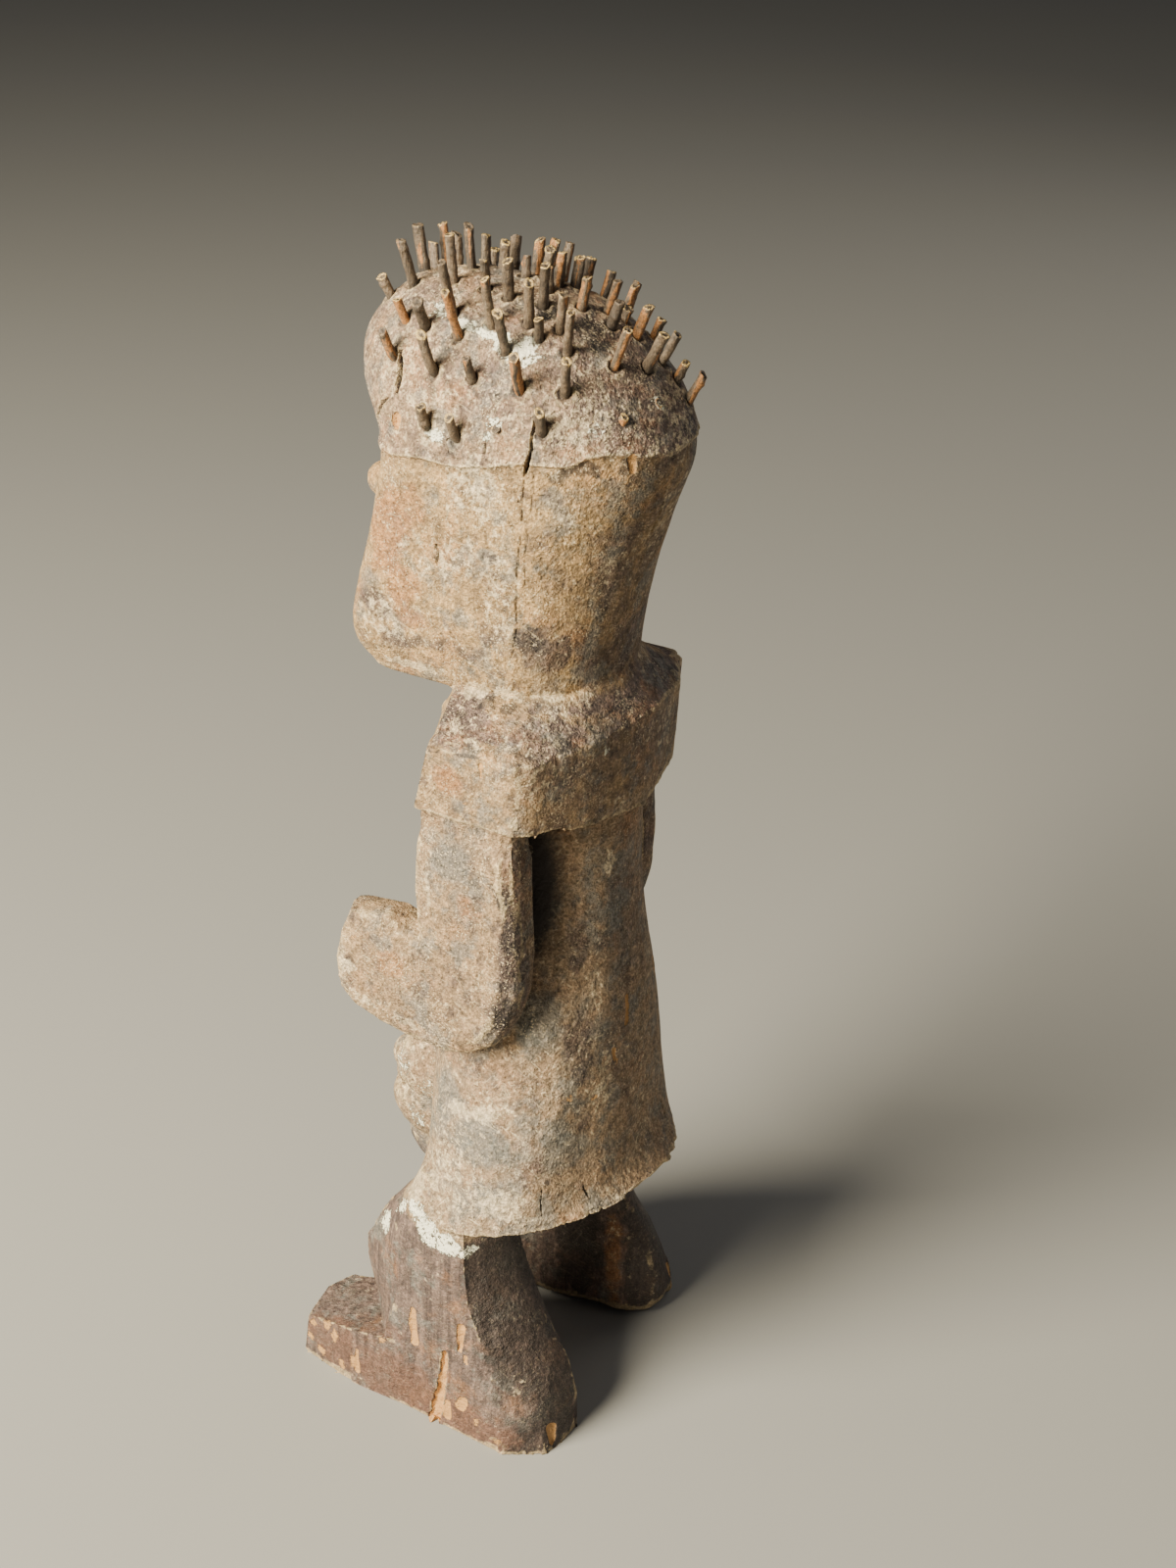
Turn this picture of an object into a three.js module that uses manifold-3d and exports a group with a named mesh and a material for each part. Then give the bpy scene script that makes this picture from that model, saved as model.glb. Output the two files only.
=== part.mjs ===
// A standing figure carved from one block of wood, with short sticks driven into its crown.
// Millimetres, +Z up. The figure faces -Y and its left side is +X.
import * as THREE from "three";
import { mergeVertices } from "three/addons/utils/BufferGeometryUtils.js";
import Module from "manifold-3d";

const wasm = await Module();
wasm.setup();

// Heights above the ground of the main levels of the carving
const hipFloor = 91; // underside of the trunk's flared rim, at the trunk's own axis
const rimTilt = 0.2; // the rim rises towards the back by this much for each millimetre
const rimRoll = 0.12; // and falls towards the right hip
const rightHipShare = 0.94; // the right hip is a little the narrower
const slabFloor = 254;
const slabTop = 281;
const neckBase = 293;
const jawFloor = 288;
const browLevel = 370;
const crownTop = 417;

const slabHalfWidth = 56;

// Sticks in the crown
const stickRadius = 1.75;
const stickSeat = 8; // how deep a stick is driven into the wood
const socketGap = 0.3;
const stickSides = 6;
const stickLift = 0.45; // how far a stick leans from square to the wood towards upright
const crownAxis = 372; // height of the level line that the rows of sticks fan out from

const woodColour = new THREE.Color(0.36, 0.28, 0.21);
const stickColour = new THREE.Color(0.33, 0.27, 0.22);

// Solids

function toSolid(geometry) {
  const bare = geometry.clone();
  bare.deleteAttribute("normal");
  bare.deleteAttribute("uv");
  const merged = mergeVertices(bare, 1e-4);
  const vertProperties = new Float32Array(merged.attributes.position.array);
  const triVerts = new Uint32Array(merged.index.array);
  return new wasm.Manifold(new wasm.Mesh({ numProp: 3, vertProperties, triVerts }));
}

function toGeometry(solid) {
  const mesh = solid.getMesh();
  const places = new Float32Array(mesh.numVert * 3);
  for (let i = 0; i < mesh.numVert; i++) {
    places.set(mesh.vertProperties.subarray(i * mesh.numProp, i * mesh.numProp + 3), i * 3);
  }
  const geometry = new THREE.BufferGeometry();
  geometry.setAttribute("position", new THREE.BufferAttribute(places, 3));
  geometry.setIndex(new THREE.BufferAttribute(new Uint32Array(mesh.triVerts), 1));
  geometry.computeVertexNormals();
  return geometry;
}

// A closed skin through rings of equally many points, each anticlockwise seen from the last ring's side.
function loft(rings) {
  const count = rings[0].length;
  const places = [];
  const faces = [];
  for (const ring of rings) for (const p of ring) places.push(p.x, p.y, p.z);
  for (let level = 0; level < rings.length - 1; level++) {
    for (let i = 0; i < count; i++) {
      const a = level * count + i;
      const b = level * count + ((i + 1) % count);
      faces.push(a, b, b + count, a, b + count, a + count);
    }
  }
  for (const [level, flip] of [[0, true], [rings.length - 1, false]]) {
    const middle = rings[level].reduce((sum, p) => sum.add(p), new THREE.Vector3());
    middle.divideScalar(count);
    const centre = places.length / 3;
    places.push(middle.x, middle.y, middle.z);
    for (let i = 0; i < count; i++) {
      const a = level * count + i;
      const b = level * count + ((i + 1) % count);
      if (flip) faces.push(centre, b, a);
      else faces.push(centre, a, b);
    }
  }
  const geometry = new THREE.BufferGeometry();
  geometry.setAttribute("position", new THREE.Float32BufferAttribute(places, 3));
  geometry.setIndex(faces);
  return geometry;
}

// Values between stations { at, ... }, on a smooth curve through them that never overshoots.
function between(stations, at) {
  const last = stations.length - 1;
  const t = THREE.MathUtils.clamp(at, stations[0].at, stations[last].at);
  let k = 0;
  while (k < last - 1 && t > stations[k + 1].at) k++;
  const slope = (j, key) =>
    (stations[j + 1][key] - stations[j][key]) / (stations[j + 1].at - stations[j].at);
  const tangent = (j, key) => {
    if (j === 0) return slope(0, key);
    if (j === last) return slope(last - 1, key);
    const before = slope(j - 1, key);
    const after = slope(j, key);
    return before * after <= 0 ? 0 : (2 * before * after) / (before + after);
  };
  const span = stations[k + 1].at - stations[k].at;
  const s = (t - stations[k].at) / span;
  const result = {};
  for (const key of Object.keys(stations[k])) {
    if (key === "at") continue;
    const a = stations[k][key];
    const b = stations[k + 1][key];
    const ta = tangent(k, key) * span;
    const tb = tangent(k + 1, key) * span;
    result[key] =
      a * (2 * s ** 3 - 3 * s ** 2 + 1) + ta * (s ** 3 - 2 * s ** 2 + s) +
      b * (3 * s ** 2 - 2 * s ** 3) + tb * (s ** 3 - s ** 2);
  }
  return result;
}

// A level section of a body: half width, front and back reach from the axis, and how square each half is.
function section(shape, z, points) {
  const ring = [];
  for (let i = 0; i < points; i++) {
    const angle = ((i + 0.5) / points) * 2 * Math.PI;
    const c = Math.cos(angle);
    const s = Math.sin(angle);
    const power = 2 / (s < 0 ? shape.frontSquare : shape.backSquare);
    const reach = s < 0 ? shape.axis - shape.front : shape.back - shape.axis;
    const x = shape.half * Math.sign(c) * Math.abs(c) ** power;
    const y = shape.axis + reach * Math.sign(s) * Math.abs(s) ** power;
    ring.push(new THREE.Vector3(x, y, z));
  }
  return ring;
}

// Head: at is the height; front and back are places along Y
const headStations = [
  { at: jawFloor, half: 31, front: -55, back: 26, axis: -2, frontSquare: 9, backSquare: 2.2 },
  { at: 292, half: 34, front: -60.5, back: 26.5, axis: -2, frontSquare: 10, backSquare: 2.15 },
  { at: 301, half: 35.5, front: -62.5, back: 27, axis: -2, frontSquare: 12, backSquare: 2.1 },
  { at: 310, half: 36, front: -61, back: 28.5, axis: -2, frontSquare: 12, backSquare: 2.1 },
  { at: 330, half: 37, front: -54.5, back: 32.5, axis: -2, frontSquare: 12, backSquare: 2.1 },
  { at: 347, half: 38, front: -51.5, back: 37, axis: -2, frontSquare: 12, backSquare: 2.1 },
  { at: 362, half: 38.6, front: -48.5, back: 42.5, axis: -2, frontSquare: 10, backSquare: 2.1 },
  { at: browLevel, half: 39, front: -53.5, back: 45, axis: -4, frontSquare: 4, backSquare: 2.2 },
  { at: 378, half: 38.8, front: -62.5, back: 43, axis: -8, frontSquare: 3, backSquare: 2.3 },
  { at: 386, half: 37.5, front: -66, back: 38.5, axis: -9, frontSquare: 2.7, backSquare: 2.3 },
  { at: 395, half: 34.5, front: -67.5, back: 31.5, axis: -11, frontSquare: 2.6, backSquare: 2.3 },
  { at: 403, half: 29.5, front: -64.5, back: 23, axis: -15, frontSquare: 2.4, backSquare: 2.3 },
  { at: 410, half: 22.5, front: -58, back: 13, axis: -19, frontSquare: 2.3, backSquare: 2.2 },
  { at: 414.5, half: 15, front: -49, back: 2, axis: -22, frontSquare: 2.2, backSquare: 2.1 },
  { at: crownTop, half: 6, front: -36, back: -12, axis: -24, frontSquare: 2, backSquare: 2 },
];
const headLevels = [
  288, 290, 294, 301, 310, 322, 335, 347, 355, 362, 366, 370, 375, 380, 385, 390, 395, 399, 403, 407,
  410, 413, 415, 417,
];
const headPoints = 36;

function headBlock() {
  return toSolid(loft(headLevels.map((z) => section(between(headStations, z), z, headPoints))));
}

// An egg: a sphere scaled to three half sizes and set at a place
function egg(place, halfSizes, around = 16, rings = 10) {
  const geometry = new THREE.SphereGeometry(1, around, rings);
  geometry.scale(...halfSizes);
  geometry.translate(...place);
  return toSolid(geometry);
}

function block(place, size) {
  const geometry = new THREE.BoxGeometry(...size);
  geometry.translate(...place);
  return toSolid(geometry);
}

// Face: hollow cheeks either side of a wedge of a nose, a boss for each eye, and a cut mouth
function face(head) {
  let worked = head;
  for (const side of [-1, 1]) {
    worked = worked.subtract(egg([side * 16.5, -60, 333], [14, 15, 28], 16, 10));
    worked = worked.add(egg([side * 20, -50, 350], [8, 11, 8], 12, 8));
  }
  const nose = loft([
    [[-4, -44], [4, -44], [3, -57], [-3, -57]].map(([x, y]) => new THREE.Vector3(x, y, 364)),
    [[-5, -44], [5, -44], [3.5, -58], [-3.5, -58]].map(([x, y]) => new THREE.Vector3(x, y, 345)),
    [[-9, -44], [9, -44], [7.5, -63], [-7.5, -63]].map(([x, y]) => new THREE.Vector3(x, y, 330)),
    [[-8, -44], [8, -44], [6, -60], [-6, -60]].map(([x, y]) => new THREE.Vector3(x, y, 326)),
  ].reverse().map((ring) => ring.reverse()));
  worked = worked.add(toSolid(nose));
  worked = worked.add(egg([0, -60, 307], [17, 6.5, 8.5], 12, 8));
  return worked.subtract(block([0, -65, 307], [24, 10, 4.5]));
}

// Trunk
const trunkStations = [
  { at: hipFloor, half: 60, front: -31.5, back: 52.5, axis: 4, frontSquare: 2.4, backSquare: 1.85 },
  { at: 98, half: 57.8, front: -32, back: 48, axis: 4, frontSquare: 2.3, backSquare: 1.95 },
  { at: 106, half: 55.8, front: -32.5, back: 45, axis: 4, frontSquare: 2.2, backSquare: 2.05 },
  { at: 120, half: 53, front: -33, back: 42.5, axis: 4, frontSquare: 2.2, backSquare: 2.1 },
  { at: 135, half: 50, front: -33, back: 41.5, axis: 4, frontSquare: 2.2, backSquare: 2.1 },
  { at: 151, half: 46.5, front: -33, back: 40.5, axis: 4, frontSquare: 2.2, backSquare: 2.1 },
  { at: 176, half: 41.5, front: -32, back: 37.5, axis: 3, frontSquare: 2.2, backSquare: 2.1 },
  { at: 200, half: 35, front: -30, back: 34, axis: 2, frontSquare: 2.2, backSquare: 2.1 },
  { at: 219, half: 31.5, front: -28, back: 32, axis: 2, frontSquare: 2.2, backSquare: 2.1 },
  { at: 262, half: 31, front: -27, back: 31.5, axis: 2, frontSquare: 2.2, backSquare: 2.1 },
];
const trunkLevels = [hipFloor, 95, 99, 104, 112, 123, 135, 151, 165, 178, 190, 202, 219, 240, 262];

function trunk() {
  const rings = trunkLevels.map((z) => section(between(trunkStations, z), z, 32));
  rings.forEach((ring, level) => {
    const share = Math.max(0, 1 - level / 6); // the tilt of the rim dies out over the lowest rings
    for (const p of ring) {
      p.z += (rimTilt * p.y + rimRoll * Math.min(p.x, 0)) * share;
      if (p.x < 0) p.x *= 1 - (1 - rightHipShare) * share;
    }
  });
  return toSolid(loft(rings));
}

// Worn knob at the foot of the belly
function bellyKnob() {
  const upper = egg([4, -38, 116], [13, 24.5, 16], 12, 8);
  const lower = egg([4, -37, 99], [12.5, 25.5, 16], 12, 8);
  const tip = egg([4, -33, 84], [10, 21, 14], 12, 8);
  return upper.add(lower).add(tip);
}

// Shoulder slab: plan outline of the left half from the chest's middle round to the spine's middle
const slabPlan = [
  [0, -28], [30, -25], [slabHalfWidth, -14], [slabHalfWidth, 18], [52, 23], [31, 32.5], [0, 38],
];
const neckPlan = [[0, -22], [17, -22], [30, -18], [30, 10], [27, 18], [19, 25], [0, 29]];

const slabWear = 2.5; // height of the worn arris round the slab's top

function bothSides(plan, z) {
  const left = plan.map(([x, y, lift = 0]) => new THREE.Vector3(x, y, z + lift));
  const right = plan.slice(1, -1).reverse();
  return left.concat(right.map(([x, y, lift = 0]) => new THREE.Vector3(-x, y, z + lift)));
}

function shoulderSlab() {
  const floorPlan = slabPlan.map(([x, y]) => {
    const front = y < 0 ? 6 * (x / slabHalfWidth) : 0; // the lower front edge stands further forward
    return [x * 0.99, y * 0.97 - front, -7 * (1 - x / slabHalfWidth)];
  });
  const topPlan = slabPlan.map(([x, y]) => [x, y, 4 * (1 - x / slabHalfWidth)]);
  const edgePlan = topPlan.map(([x, y, lift]) => [x, y, lift - slabWear]);
  const innerPlan = topPlan.map(([x, y, lift]) => [x * 0.965, y * 0.93, lift]);
  return toSolid(
    loft([
      bothSides(floorPlan, slabFloor), bothSides(edgePlan, slabTop), bothSides(innerPlan, slabTop),
      bothSides(neckPlan, neckBase),
    ]),
  );
}

// Arm: side outline in the Y-Z plane, cut from a board and rounded over
const armInner = 39;
const armThickness = 16.2; // the slab above stands out a little past the arm
const armRounding = 6;
const rightArmAhead = 2.5; // the right arm is set a little further forward
const armOutline = [
  [-21, 262], [-21.5, 238], [-22, 222], [-20, 205], [-31, 209], [-48, 207], [-52, 197], [-54.5, 185],
  [-53, 173], [-46, 167], [-34, 163], [-20, 161], [-7, 160.5], [2, 163], [11, 169], [17, 179], [20.5, 191],
  [21, 205], [19.5, 225], [18, 262],
];

function mirrorX(solid) {
  const mesh = solid.getMesh();
  const vertProperties = mesh.vertProperties.map((v, i) => (i % mesh.numProp === 0 ? -v : v));
  const triVerts = mesh.triVerts.slice();
  for (let i = 0; i < triVerts.length; i += 3) {
    [triVerts[i + 1], triVerts[i + 2]] = [triVerts[i + 2], triVerts[i + 1]];
  }
  return new wasm.Manifold(new wasm.Mesh({ numProp: mesh.numProp, vertProperties, triVerts }));
}

function arm(side) {
  const outline = armOutline.map(([y, z]) => new THREE.Vector2(y, z));
  const geometry = new THREE.ExtrudeGeometry(new THREE.Shape(outline), {
    depth: armThickness - 2 * armRounding,
    bevelThickness: armRounding,
    bevelSize: armRounding,
    bevelOffset: -armRounding,
    bevelSegments: 2,
  });
  geometry.rotateX(Math.PI / 2);
  geometry.rotateZ(Math.PI / 2);
  geometry.translate(armInner + armRounding, side < 0 ? -rightArmAhead : 0, 0);
  const solid = toSolid(geometry);
  return side < 0 ? mirrorX(solid) : solid;
}

// Level sections of a leg, anticlockwise seen from above. Fore is the front and outer side from the inner
// front corner. Rear is the outer side's arris, the turn of the heel, its two corners and the inner side, and
// the right leg, given here as if it were a left one, has a rear of its own.
const legSections = [
  {
    at: 0,
    fore: [[24, -45], [32, -45], [46, -38], [58, -31], [60.5, -4]],
    rear: [[61.8, 25], [53.5, 38], [40, 41], [28, 38], [21, 4]],
    rightRear: [[61.5, 26], [54, 35], [42, 38.5], [28, 36], [21, 4]],
  },
  {
    at: 16,
    fore: [[25, -50], [32, -49], [46, -40], [58, -31], [60.5, -2]],
    rear: [[60.8, 21], [54.5, 34], [38, 42], [28, 36], [21, 4]],
    rightRear: [[60.5, 21], [54, 31.5], [40, 40], [28, 37], [21, 4]],
  },
  {
    at: 30,
    fore: [[26, -54], [32, -53], [45, -40], [57, -31], [60, 0]],
    rear: [[60, 17.5], [54.5, 28], [38, 39], [28, 30], [22, 4]],
    rightRear: [[59, 16], [52, 27], [40, 37], [28, 35.5], [22, 3]],
  },
  {
    at: 45,
    fore: [[26, -52], [38, -51], [50, -39], [58, -26], [60, 1]],
    rear: [[59.3, 12.5], [52, 22], [37, 29.4], [28, 19.5], [22.5, 3]],
    rightRear: [[57, 4], [50, 14.5], [40, 29], [30, 31], [24, 3]],
  },
  {
    at: 60,
    fore: [[27, -48], [44, -47], [53, -35], [58, -21], [59.5, 2]],
    rear: [[59.2, 6.5], [47, 16.5], [36, 21], [27, 13], [23, 0]],
    rightRear: [[56, 6], [46, 17], [32, 24], [26, 20], [23, 0]],
  },
  {
    at: 76,
    fore: [[27, -39], [44, -39], [53, -30], [58, -17], [59, 1]],
    rear: [[58.8, 4.5], [47, 12.5], [36, 16], [28, 9.7], [24, -3]],
    rightRear: [[55, 4], [45, 13], [33, 18], [28, 14], [24, -3]],
  },
  {
    at: 92,
    fore: [[27, -28], [44, -28], [53, -22], [57.5, -12], [58, 1]],
    rear: [[58, 3.5], [47, 9.5], [36, 12], [29, 7], [25, -4]],
    rightRear: [[54, 3.5], [45, 11], [34, 14], [28, 11], [25, -4]],
  },
  {
    at: 104,
    fore: [[27, -24], [42, -23], [50, -19], [54, -11], [54.7, 1]],
    rear: [[54.5, 3.5], [45, 8], [36, 10], [29, 5], [25, -5]],
    rightRear: [[52, 3.5], [44, 9], [34, 12], [28, 9], [25, -5]],
  },
];

const heelCorners = [7, 8];
const heelWear = 0.3; // share of each side next to a heel corner that the worn corner takes

// Cuts each heel corner off between its two neighbours
function wornHeel(corners) {
  return corners.flatMap((corner, i) => {
    if (!heelCorners.includes(i)) return [corner];
    const before = corners[i - 1];
    const after = corners[i + 1];
    return [corner.clone().lerp(before, heelWear), corner.clone().lerp(after, heelWear)];
  });
}

function leg(side) {
  const rings = legSections.map(({ at, fore, rear, rightRear }) => {
    const corners = fore.concat(side < 0 ? rightRear : rear);
    return wornHeel(corners.map(([x, y]) => new THREE.Vector3(x, y, at)));
  });
  return toSolid(loft(rings));
}

// Fore part of the foot: the sole's outline and, at each corner, the height of the upper face
const forefoot = [
  [27, -68, 20], [38, -72, 20], [54, -70, 18.5], [59.2, -42, 26], [59.2, -6, 33.5], [40, 0, 33],
  [22, -12, 28], [23, -40, 24],
];

function foot() {
  const low = forefoot.map(([x, y]) => new THREE.Vector3(x, y, 0));
  const high = forefoot.map(([x, y, z]) => new THREE.Vector3(x, y < -60 ? y + 2 : y, z));
  return toSolid(loft([low, high]));
}

function limb(side) {
  const solid = leg(side).add(foot());
  return side < 0 ? mirrorX(solid) : solid;
}

function figureSolid() {
  let body = face(headBlock());
  for (const piece of [trunk(), bellyKnob(), shoulderSlab(), arm(1), arm(-1), limb(1), limb(-1)]) {
    body = body.add(piece);
  }
  return body;
}

// Rows of sticks from the front of the crown to the back. A row stands at one place along Y, and each of
// its sticks has a turn in degrees, from straight up towards the left ear, and the length that shows.
const stickRows = [
  [-56, [[20, 8], [-20, 13]]],
  [-51, [[2, 16]]],
  [-48, [[17, 16], [-9, 15]]],
  [-43, [[54, 11], [37, 9], [-7, 12], [-38, 15]]],
  [-34, [[40, 11], [15, 16], [1, 15], [-10, 11]]],
  [-26, [[82, 9], [58, 16], [33, 20], [-6, 10], [-15, 12], [-52, 11]]],
  [-21, [[42, 18], [17, 11], [-32, 16]]],
  [-15, [[84, 9], [0, 8], [-9, 13]]],
  [-12, [[58, 9], [34, 18], [19, 14], [-44, 14]]],
  [-9, [[-4, 12], [-18, 13]]],
  [-4, [[44, 16], [6, 9], [-2, 12], [-64, 10]]],
  [-1, [[29, 16], [17, 15], [-9, 11], [-17, 11]]],
  [4, [[58, 14], [34, 9], [-24, 10], [-48, 15]]],
  [8, [[26, 14], [7, 12]]],
  [13, [[74, 9], [35, 16], [-4, 12], [-22, 11]]],
  [17, [[54, 14], [4, 10], [-10, 6]]],
  [22, [[-9, 12], [-31, 8]]],
  [25, [[27, 15]]],
  [30, [[6, 14], [-18, 12]]],
  [34, [[-29, 8]]],
  [38, [[-43, 11]]],
];

// How far outside the head a place is: below zero inside, above zero outside
function outside(place) {
  const shape = between(headStations, place.z);
  const ahead = place.y < shape.axis;
  const reach = ahead ? shape.axis - shape.front : shape.back - shape.axis;
  const power = ahead ? shape.frontSquare : shape.backSquare;
  const across = Math.abs(place.x / shape.half) ** power;
  const along = Math.abs((place.y - shape.axis) / reach) ** power;
  const overCrown = Math.max(0, place.z - crownTop);
  return across + along - 1 + overCrown;
}

function surfaceAt(y, turn) {
  const angle = THREE.MathUtils.degToRad(turn);
  const centre = new THREE.Vector3(0, y, crownAxis);
  const ray = new THREE.Vector3(Math.sin(angle), 0, Math.cos(angle));
  let near = 0;
  let far = 80;
  for (let i = 0; i < 30; i++) {
    const middle = (near + far) / 2;
    if (outside(centre.clone().addScaledVector(ray, middle)) > 0) far = middle;
    else near = middle;
  }
  return centre.addScaledVector(ray, near);
}

function normalAt(place) {
  const step = 0.5;
  const rise = (axis) => {
    const up = place.clone().addScaledVector(axis, step);
    const down = place.clone().addScaledVector(axis, -step);
    return outside(up) - outside(down);
  };
  const axes = [new THREE.Vector3(1, 0, 0), new THREE.Vector3(0, 1, 0), new THREE.Vector3(0, 0, 1)];
  return new THREE.Vector3(...axes.map(rise)).normalize();
}

// A stick's root in the wood, its direction and its whole length
function stickPlaces() {
  const places = [];
  for (const [y, sticks] of stickRows) {
    for (const [turn, shown] of sticks) {
      const foot = surfaceAt(y, turn);
      const direction = normalAt(foot).multiplyScalar(1 - stickLift);
      direction.z += stickLift;
      direction.normalize();
      const root = foot.clone().addScaledVector(direction, -stickSeat);
      places.push({ root, direction, length: shown + stickSeat });
    }
  }
  return places;
}

// A six-sided rod from a root along a direction
function rod(root, direction, radius, length) {
  const geometry = new THREE.CylinderGeometry(radius, radius, length, stickSides);
  geometry.translate(0, length / 2, 0);
  const turn = new THREE.Quaternion().setFromUnitVectors(new THREE.Vector3(0, 1, 0), direction);
  geometry.applyQuaternion(turn);
  geometry.translate(root.x, root.y, root.z);
  return geometry;
}

// The sockets that the sticks sit in
function withSockets(body, sticks) {
  let bored = body;
  for (const { root, direction, length } of sticks) {
    const floor = root.clone().addScaledVector(direction, -socketGap);
    bored = bored.subtract(toSolid(rod(floor, direction, stickRadius + socketGap, length)));
  }
  return bored;
}

const sticks = stickPlaces();
const pieces = new THREE.Group();
const figure = new THREE.Mesh(
  toGeometry(withSockets(figureSolid(), sticks)),
  new THREE.MeshStandardMaterial({ color: woodColour, roughness: 0.85, metalness: 0 }),
);
figure.name = "figure";
pieces.add(figure);

const stickMaterial = new THREE.MeshStandardMaterial({ color: stickColour, roughness: 0.9, metalness: 0 });
sticks.forEach(({ root, direction, length }, i) => {
  const stick = new THREE.Mesh(rod(root, direction, stickRadius, length), stickMaterial);
  stick.name = `stick_${String(i + 1).padStart(2, "0")}`;
  pieces.add(stick);
});

// The origin is on the ground under the middle of the whole piece
const extent = new THREE.Box3().setFromObject(pieces, true);
const middle = extent.getCenter(new THREE.Vector3());
pieces.position.set(-middle.x, -middle.y, -extent.min.z);

const group = new THREE.Group();
group.add(pieces);

export default group;
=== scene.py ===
# Looks for a standing figure carved from one block of wood, with short sticks driven into its crown.
# Metres, +Z up. The figure faces -Y and its left side is +X. Sizes in the dictionaries are millimetres.
import math
import bmesh
import bpy
import numpy as np
from mathutils import Matrix, Vector
from types import SimpleNamespace


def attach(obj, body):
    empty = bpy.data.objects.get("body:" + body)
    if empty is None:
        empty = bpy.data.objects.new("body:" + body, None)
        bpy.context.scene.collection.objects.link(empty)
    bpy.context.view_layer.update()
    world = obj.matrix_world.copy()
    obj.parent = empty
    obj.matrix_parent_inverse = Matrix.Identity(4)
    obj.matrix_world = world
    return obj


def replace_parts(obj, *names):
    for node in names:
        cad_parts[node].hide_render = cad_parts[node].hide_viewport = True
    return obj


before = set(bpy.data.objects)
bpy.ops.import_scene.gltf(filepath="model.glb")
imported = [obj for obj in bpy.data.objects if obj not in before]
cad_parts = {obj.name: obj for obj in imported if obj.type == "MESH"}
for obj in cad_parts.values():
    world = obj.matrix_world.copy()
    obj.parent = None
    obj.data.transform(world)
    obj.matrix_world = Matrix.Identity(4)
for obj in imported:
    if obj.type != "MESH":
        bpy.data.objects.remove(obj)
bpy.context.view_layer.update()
mm = 0.001


# Noise and small helpers, all on whole arrays of points in millimetres

def latticeValue(ix, iy, iz, seed):  # a repeatable value from 0 to 1 for each lattice corner
    n = (ix * 374761393 + iy * 668265263 + iz * 1440662683 + seed * 974634777) & 0x7FFFFFFF
    n = ((n ^ (n >> 13)) * 1274126177) & 0x7FFFFFFF
    return ((n ^ (n >> 16)) & 0xFFFF) / 65535


def softNoise(points, size, seed):  # lattice values blended by smoothstep over cells of this size, -1 to 1
    scaled = points / size
    cell = np.floor(scaled).astype(np.int64)
    part = scaled - cell
    part = part * part * (3 - 2 * part)
    total = np.zeros(len(points))
    for corner in np.ndindex(2, 2, 2):
        share = np.abs(1 - np.array(corner) - part).prod(1)
        total += share * latticeValue(*(cell + corner).T, seed)
    return total * 2 - 1


def layeredNoise(points, size, seed, layers=3):  # each layer is half the size and height of the last
    total = np.zeros(len(points))
    for layer in range(layers):
        total += softNoise(points, size / 2 ** layer, seed + layer) / 2 ** layer
    return total / (2 - 2 ** (1 - layers))


def smoothStep(low, high, value):
    t = np.clip((value - low) / (high - low), 0, 1)
    return t * t * (3 - 2 * t)


def bell(value, middle, reach):  # 1 at the middle, falling away on both sides
    return np.exp(-((value - middle) / reach) ** 2)


def distanceToPath(points, path):  # the distance to a line through the corners, and the share along it
    path = np.array(path, float)
    best = np.full(len(points), 1e9)
    along = np.zeros(len(points))
    for i, (a, b) in enumerate(zip(path[:-1], path[1:])):
        leg = b - a
        t = np.clip((points - a) @ leg / max(leg @ leg, 1e-9), 0, 1)
        d = np.linalg.norm(points - a - t[:, None] * leg, axis=1)
        closer = d < best
        best[closer] = d[closer]
        along[closer] = (i + t[closer]) / (len(path) - 1)
    return best, along


def blot(points, centre, reach):  # 1 at the centre, falling to 0 at the reach along each axis
    d = np.linalg.norm((points - np.array(centre, float)) / np.array(reach, float), axis=1)
    return 1 - smoothStep(0.35, 1.0, d)


def meshArrays(mesh):
    co = np.empty(len(mesh.vertices) * 3)
    mesh.vertices.foreach_get("co", co)
    normal = np.empty(len(mesh.vertices) * 3)
    mesh.vertices.foreach_get("normal", normal)
    edges = np.empty(len(mesh.edges) * 2, np.int64)
    mesh.edges.foreach_get("vertices", edges)
    return co.reshape(-1, 3) / mm, normal.reshape(-1, 3), edges.reshape(-1, 2)


def putPlaces(mesh, points):
    mesh.vertices.foreach_set("co", (points * mm).ravel())
    mesh.update()


def putAttribute(mesh, name, values):  # shares from 0 to 1 on the mesh's points
    layer = mesh.attributes.new(name, "FLOAT", "POINT")
    layer.data.foreach_set("value", np.clip(values, 0, 1).astype(np.float32))


def neighbourMean(values, edges):  # the mean of each vertex's neighbours, for one column or three
    values = values.reshape(len(values), -1)
    count = np.bincount(edges.ravel(), minlength=len(values))
    total = np.empty_like(values)
    for k in range(values.shape[1]):
        total[:, k] = np.bincount(edges[:, 0], weights=values[edges[:, 1], k], minlength=len(values))
        total[:, k] += np.bincount(edges[:, 1], weights=values[edges[:, 0], k], minlength=len(values))
    return total / np.maximum(count, 1)[:, None]


def relax(points, edges, rounds, steps, share=1.0):  # each step moves points towards their neighbours' mean
    for _ in range(rounds):
        for step in steps:
            points = points + (neighbourMean(points, edges) - points) * (step * share)
    return points


def linked(name, data):
    thing = bpy.data.objects.new(name, data)
    bpy.context.scene.collection.objects.link(thing)
    return thing


def addObject(name, mesh, material):
    thing = linked(name, mesh)
    mesh.materials.clear()
    mesh.materials.append(material)
    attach(thing, "root")
    return thing


def shadeSmooth(mesh):
    mesh.polygons.foreach_set("use_smooth", np.ones(len(mesh.polygons), bool))


# Camera at the photograph's viewing angle

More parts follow.
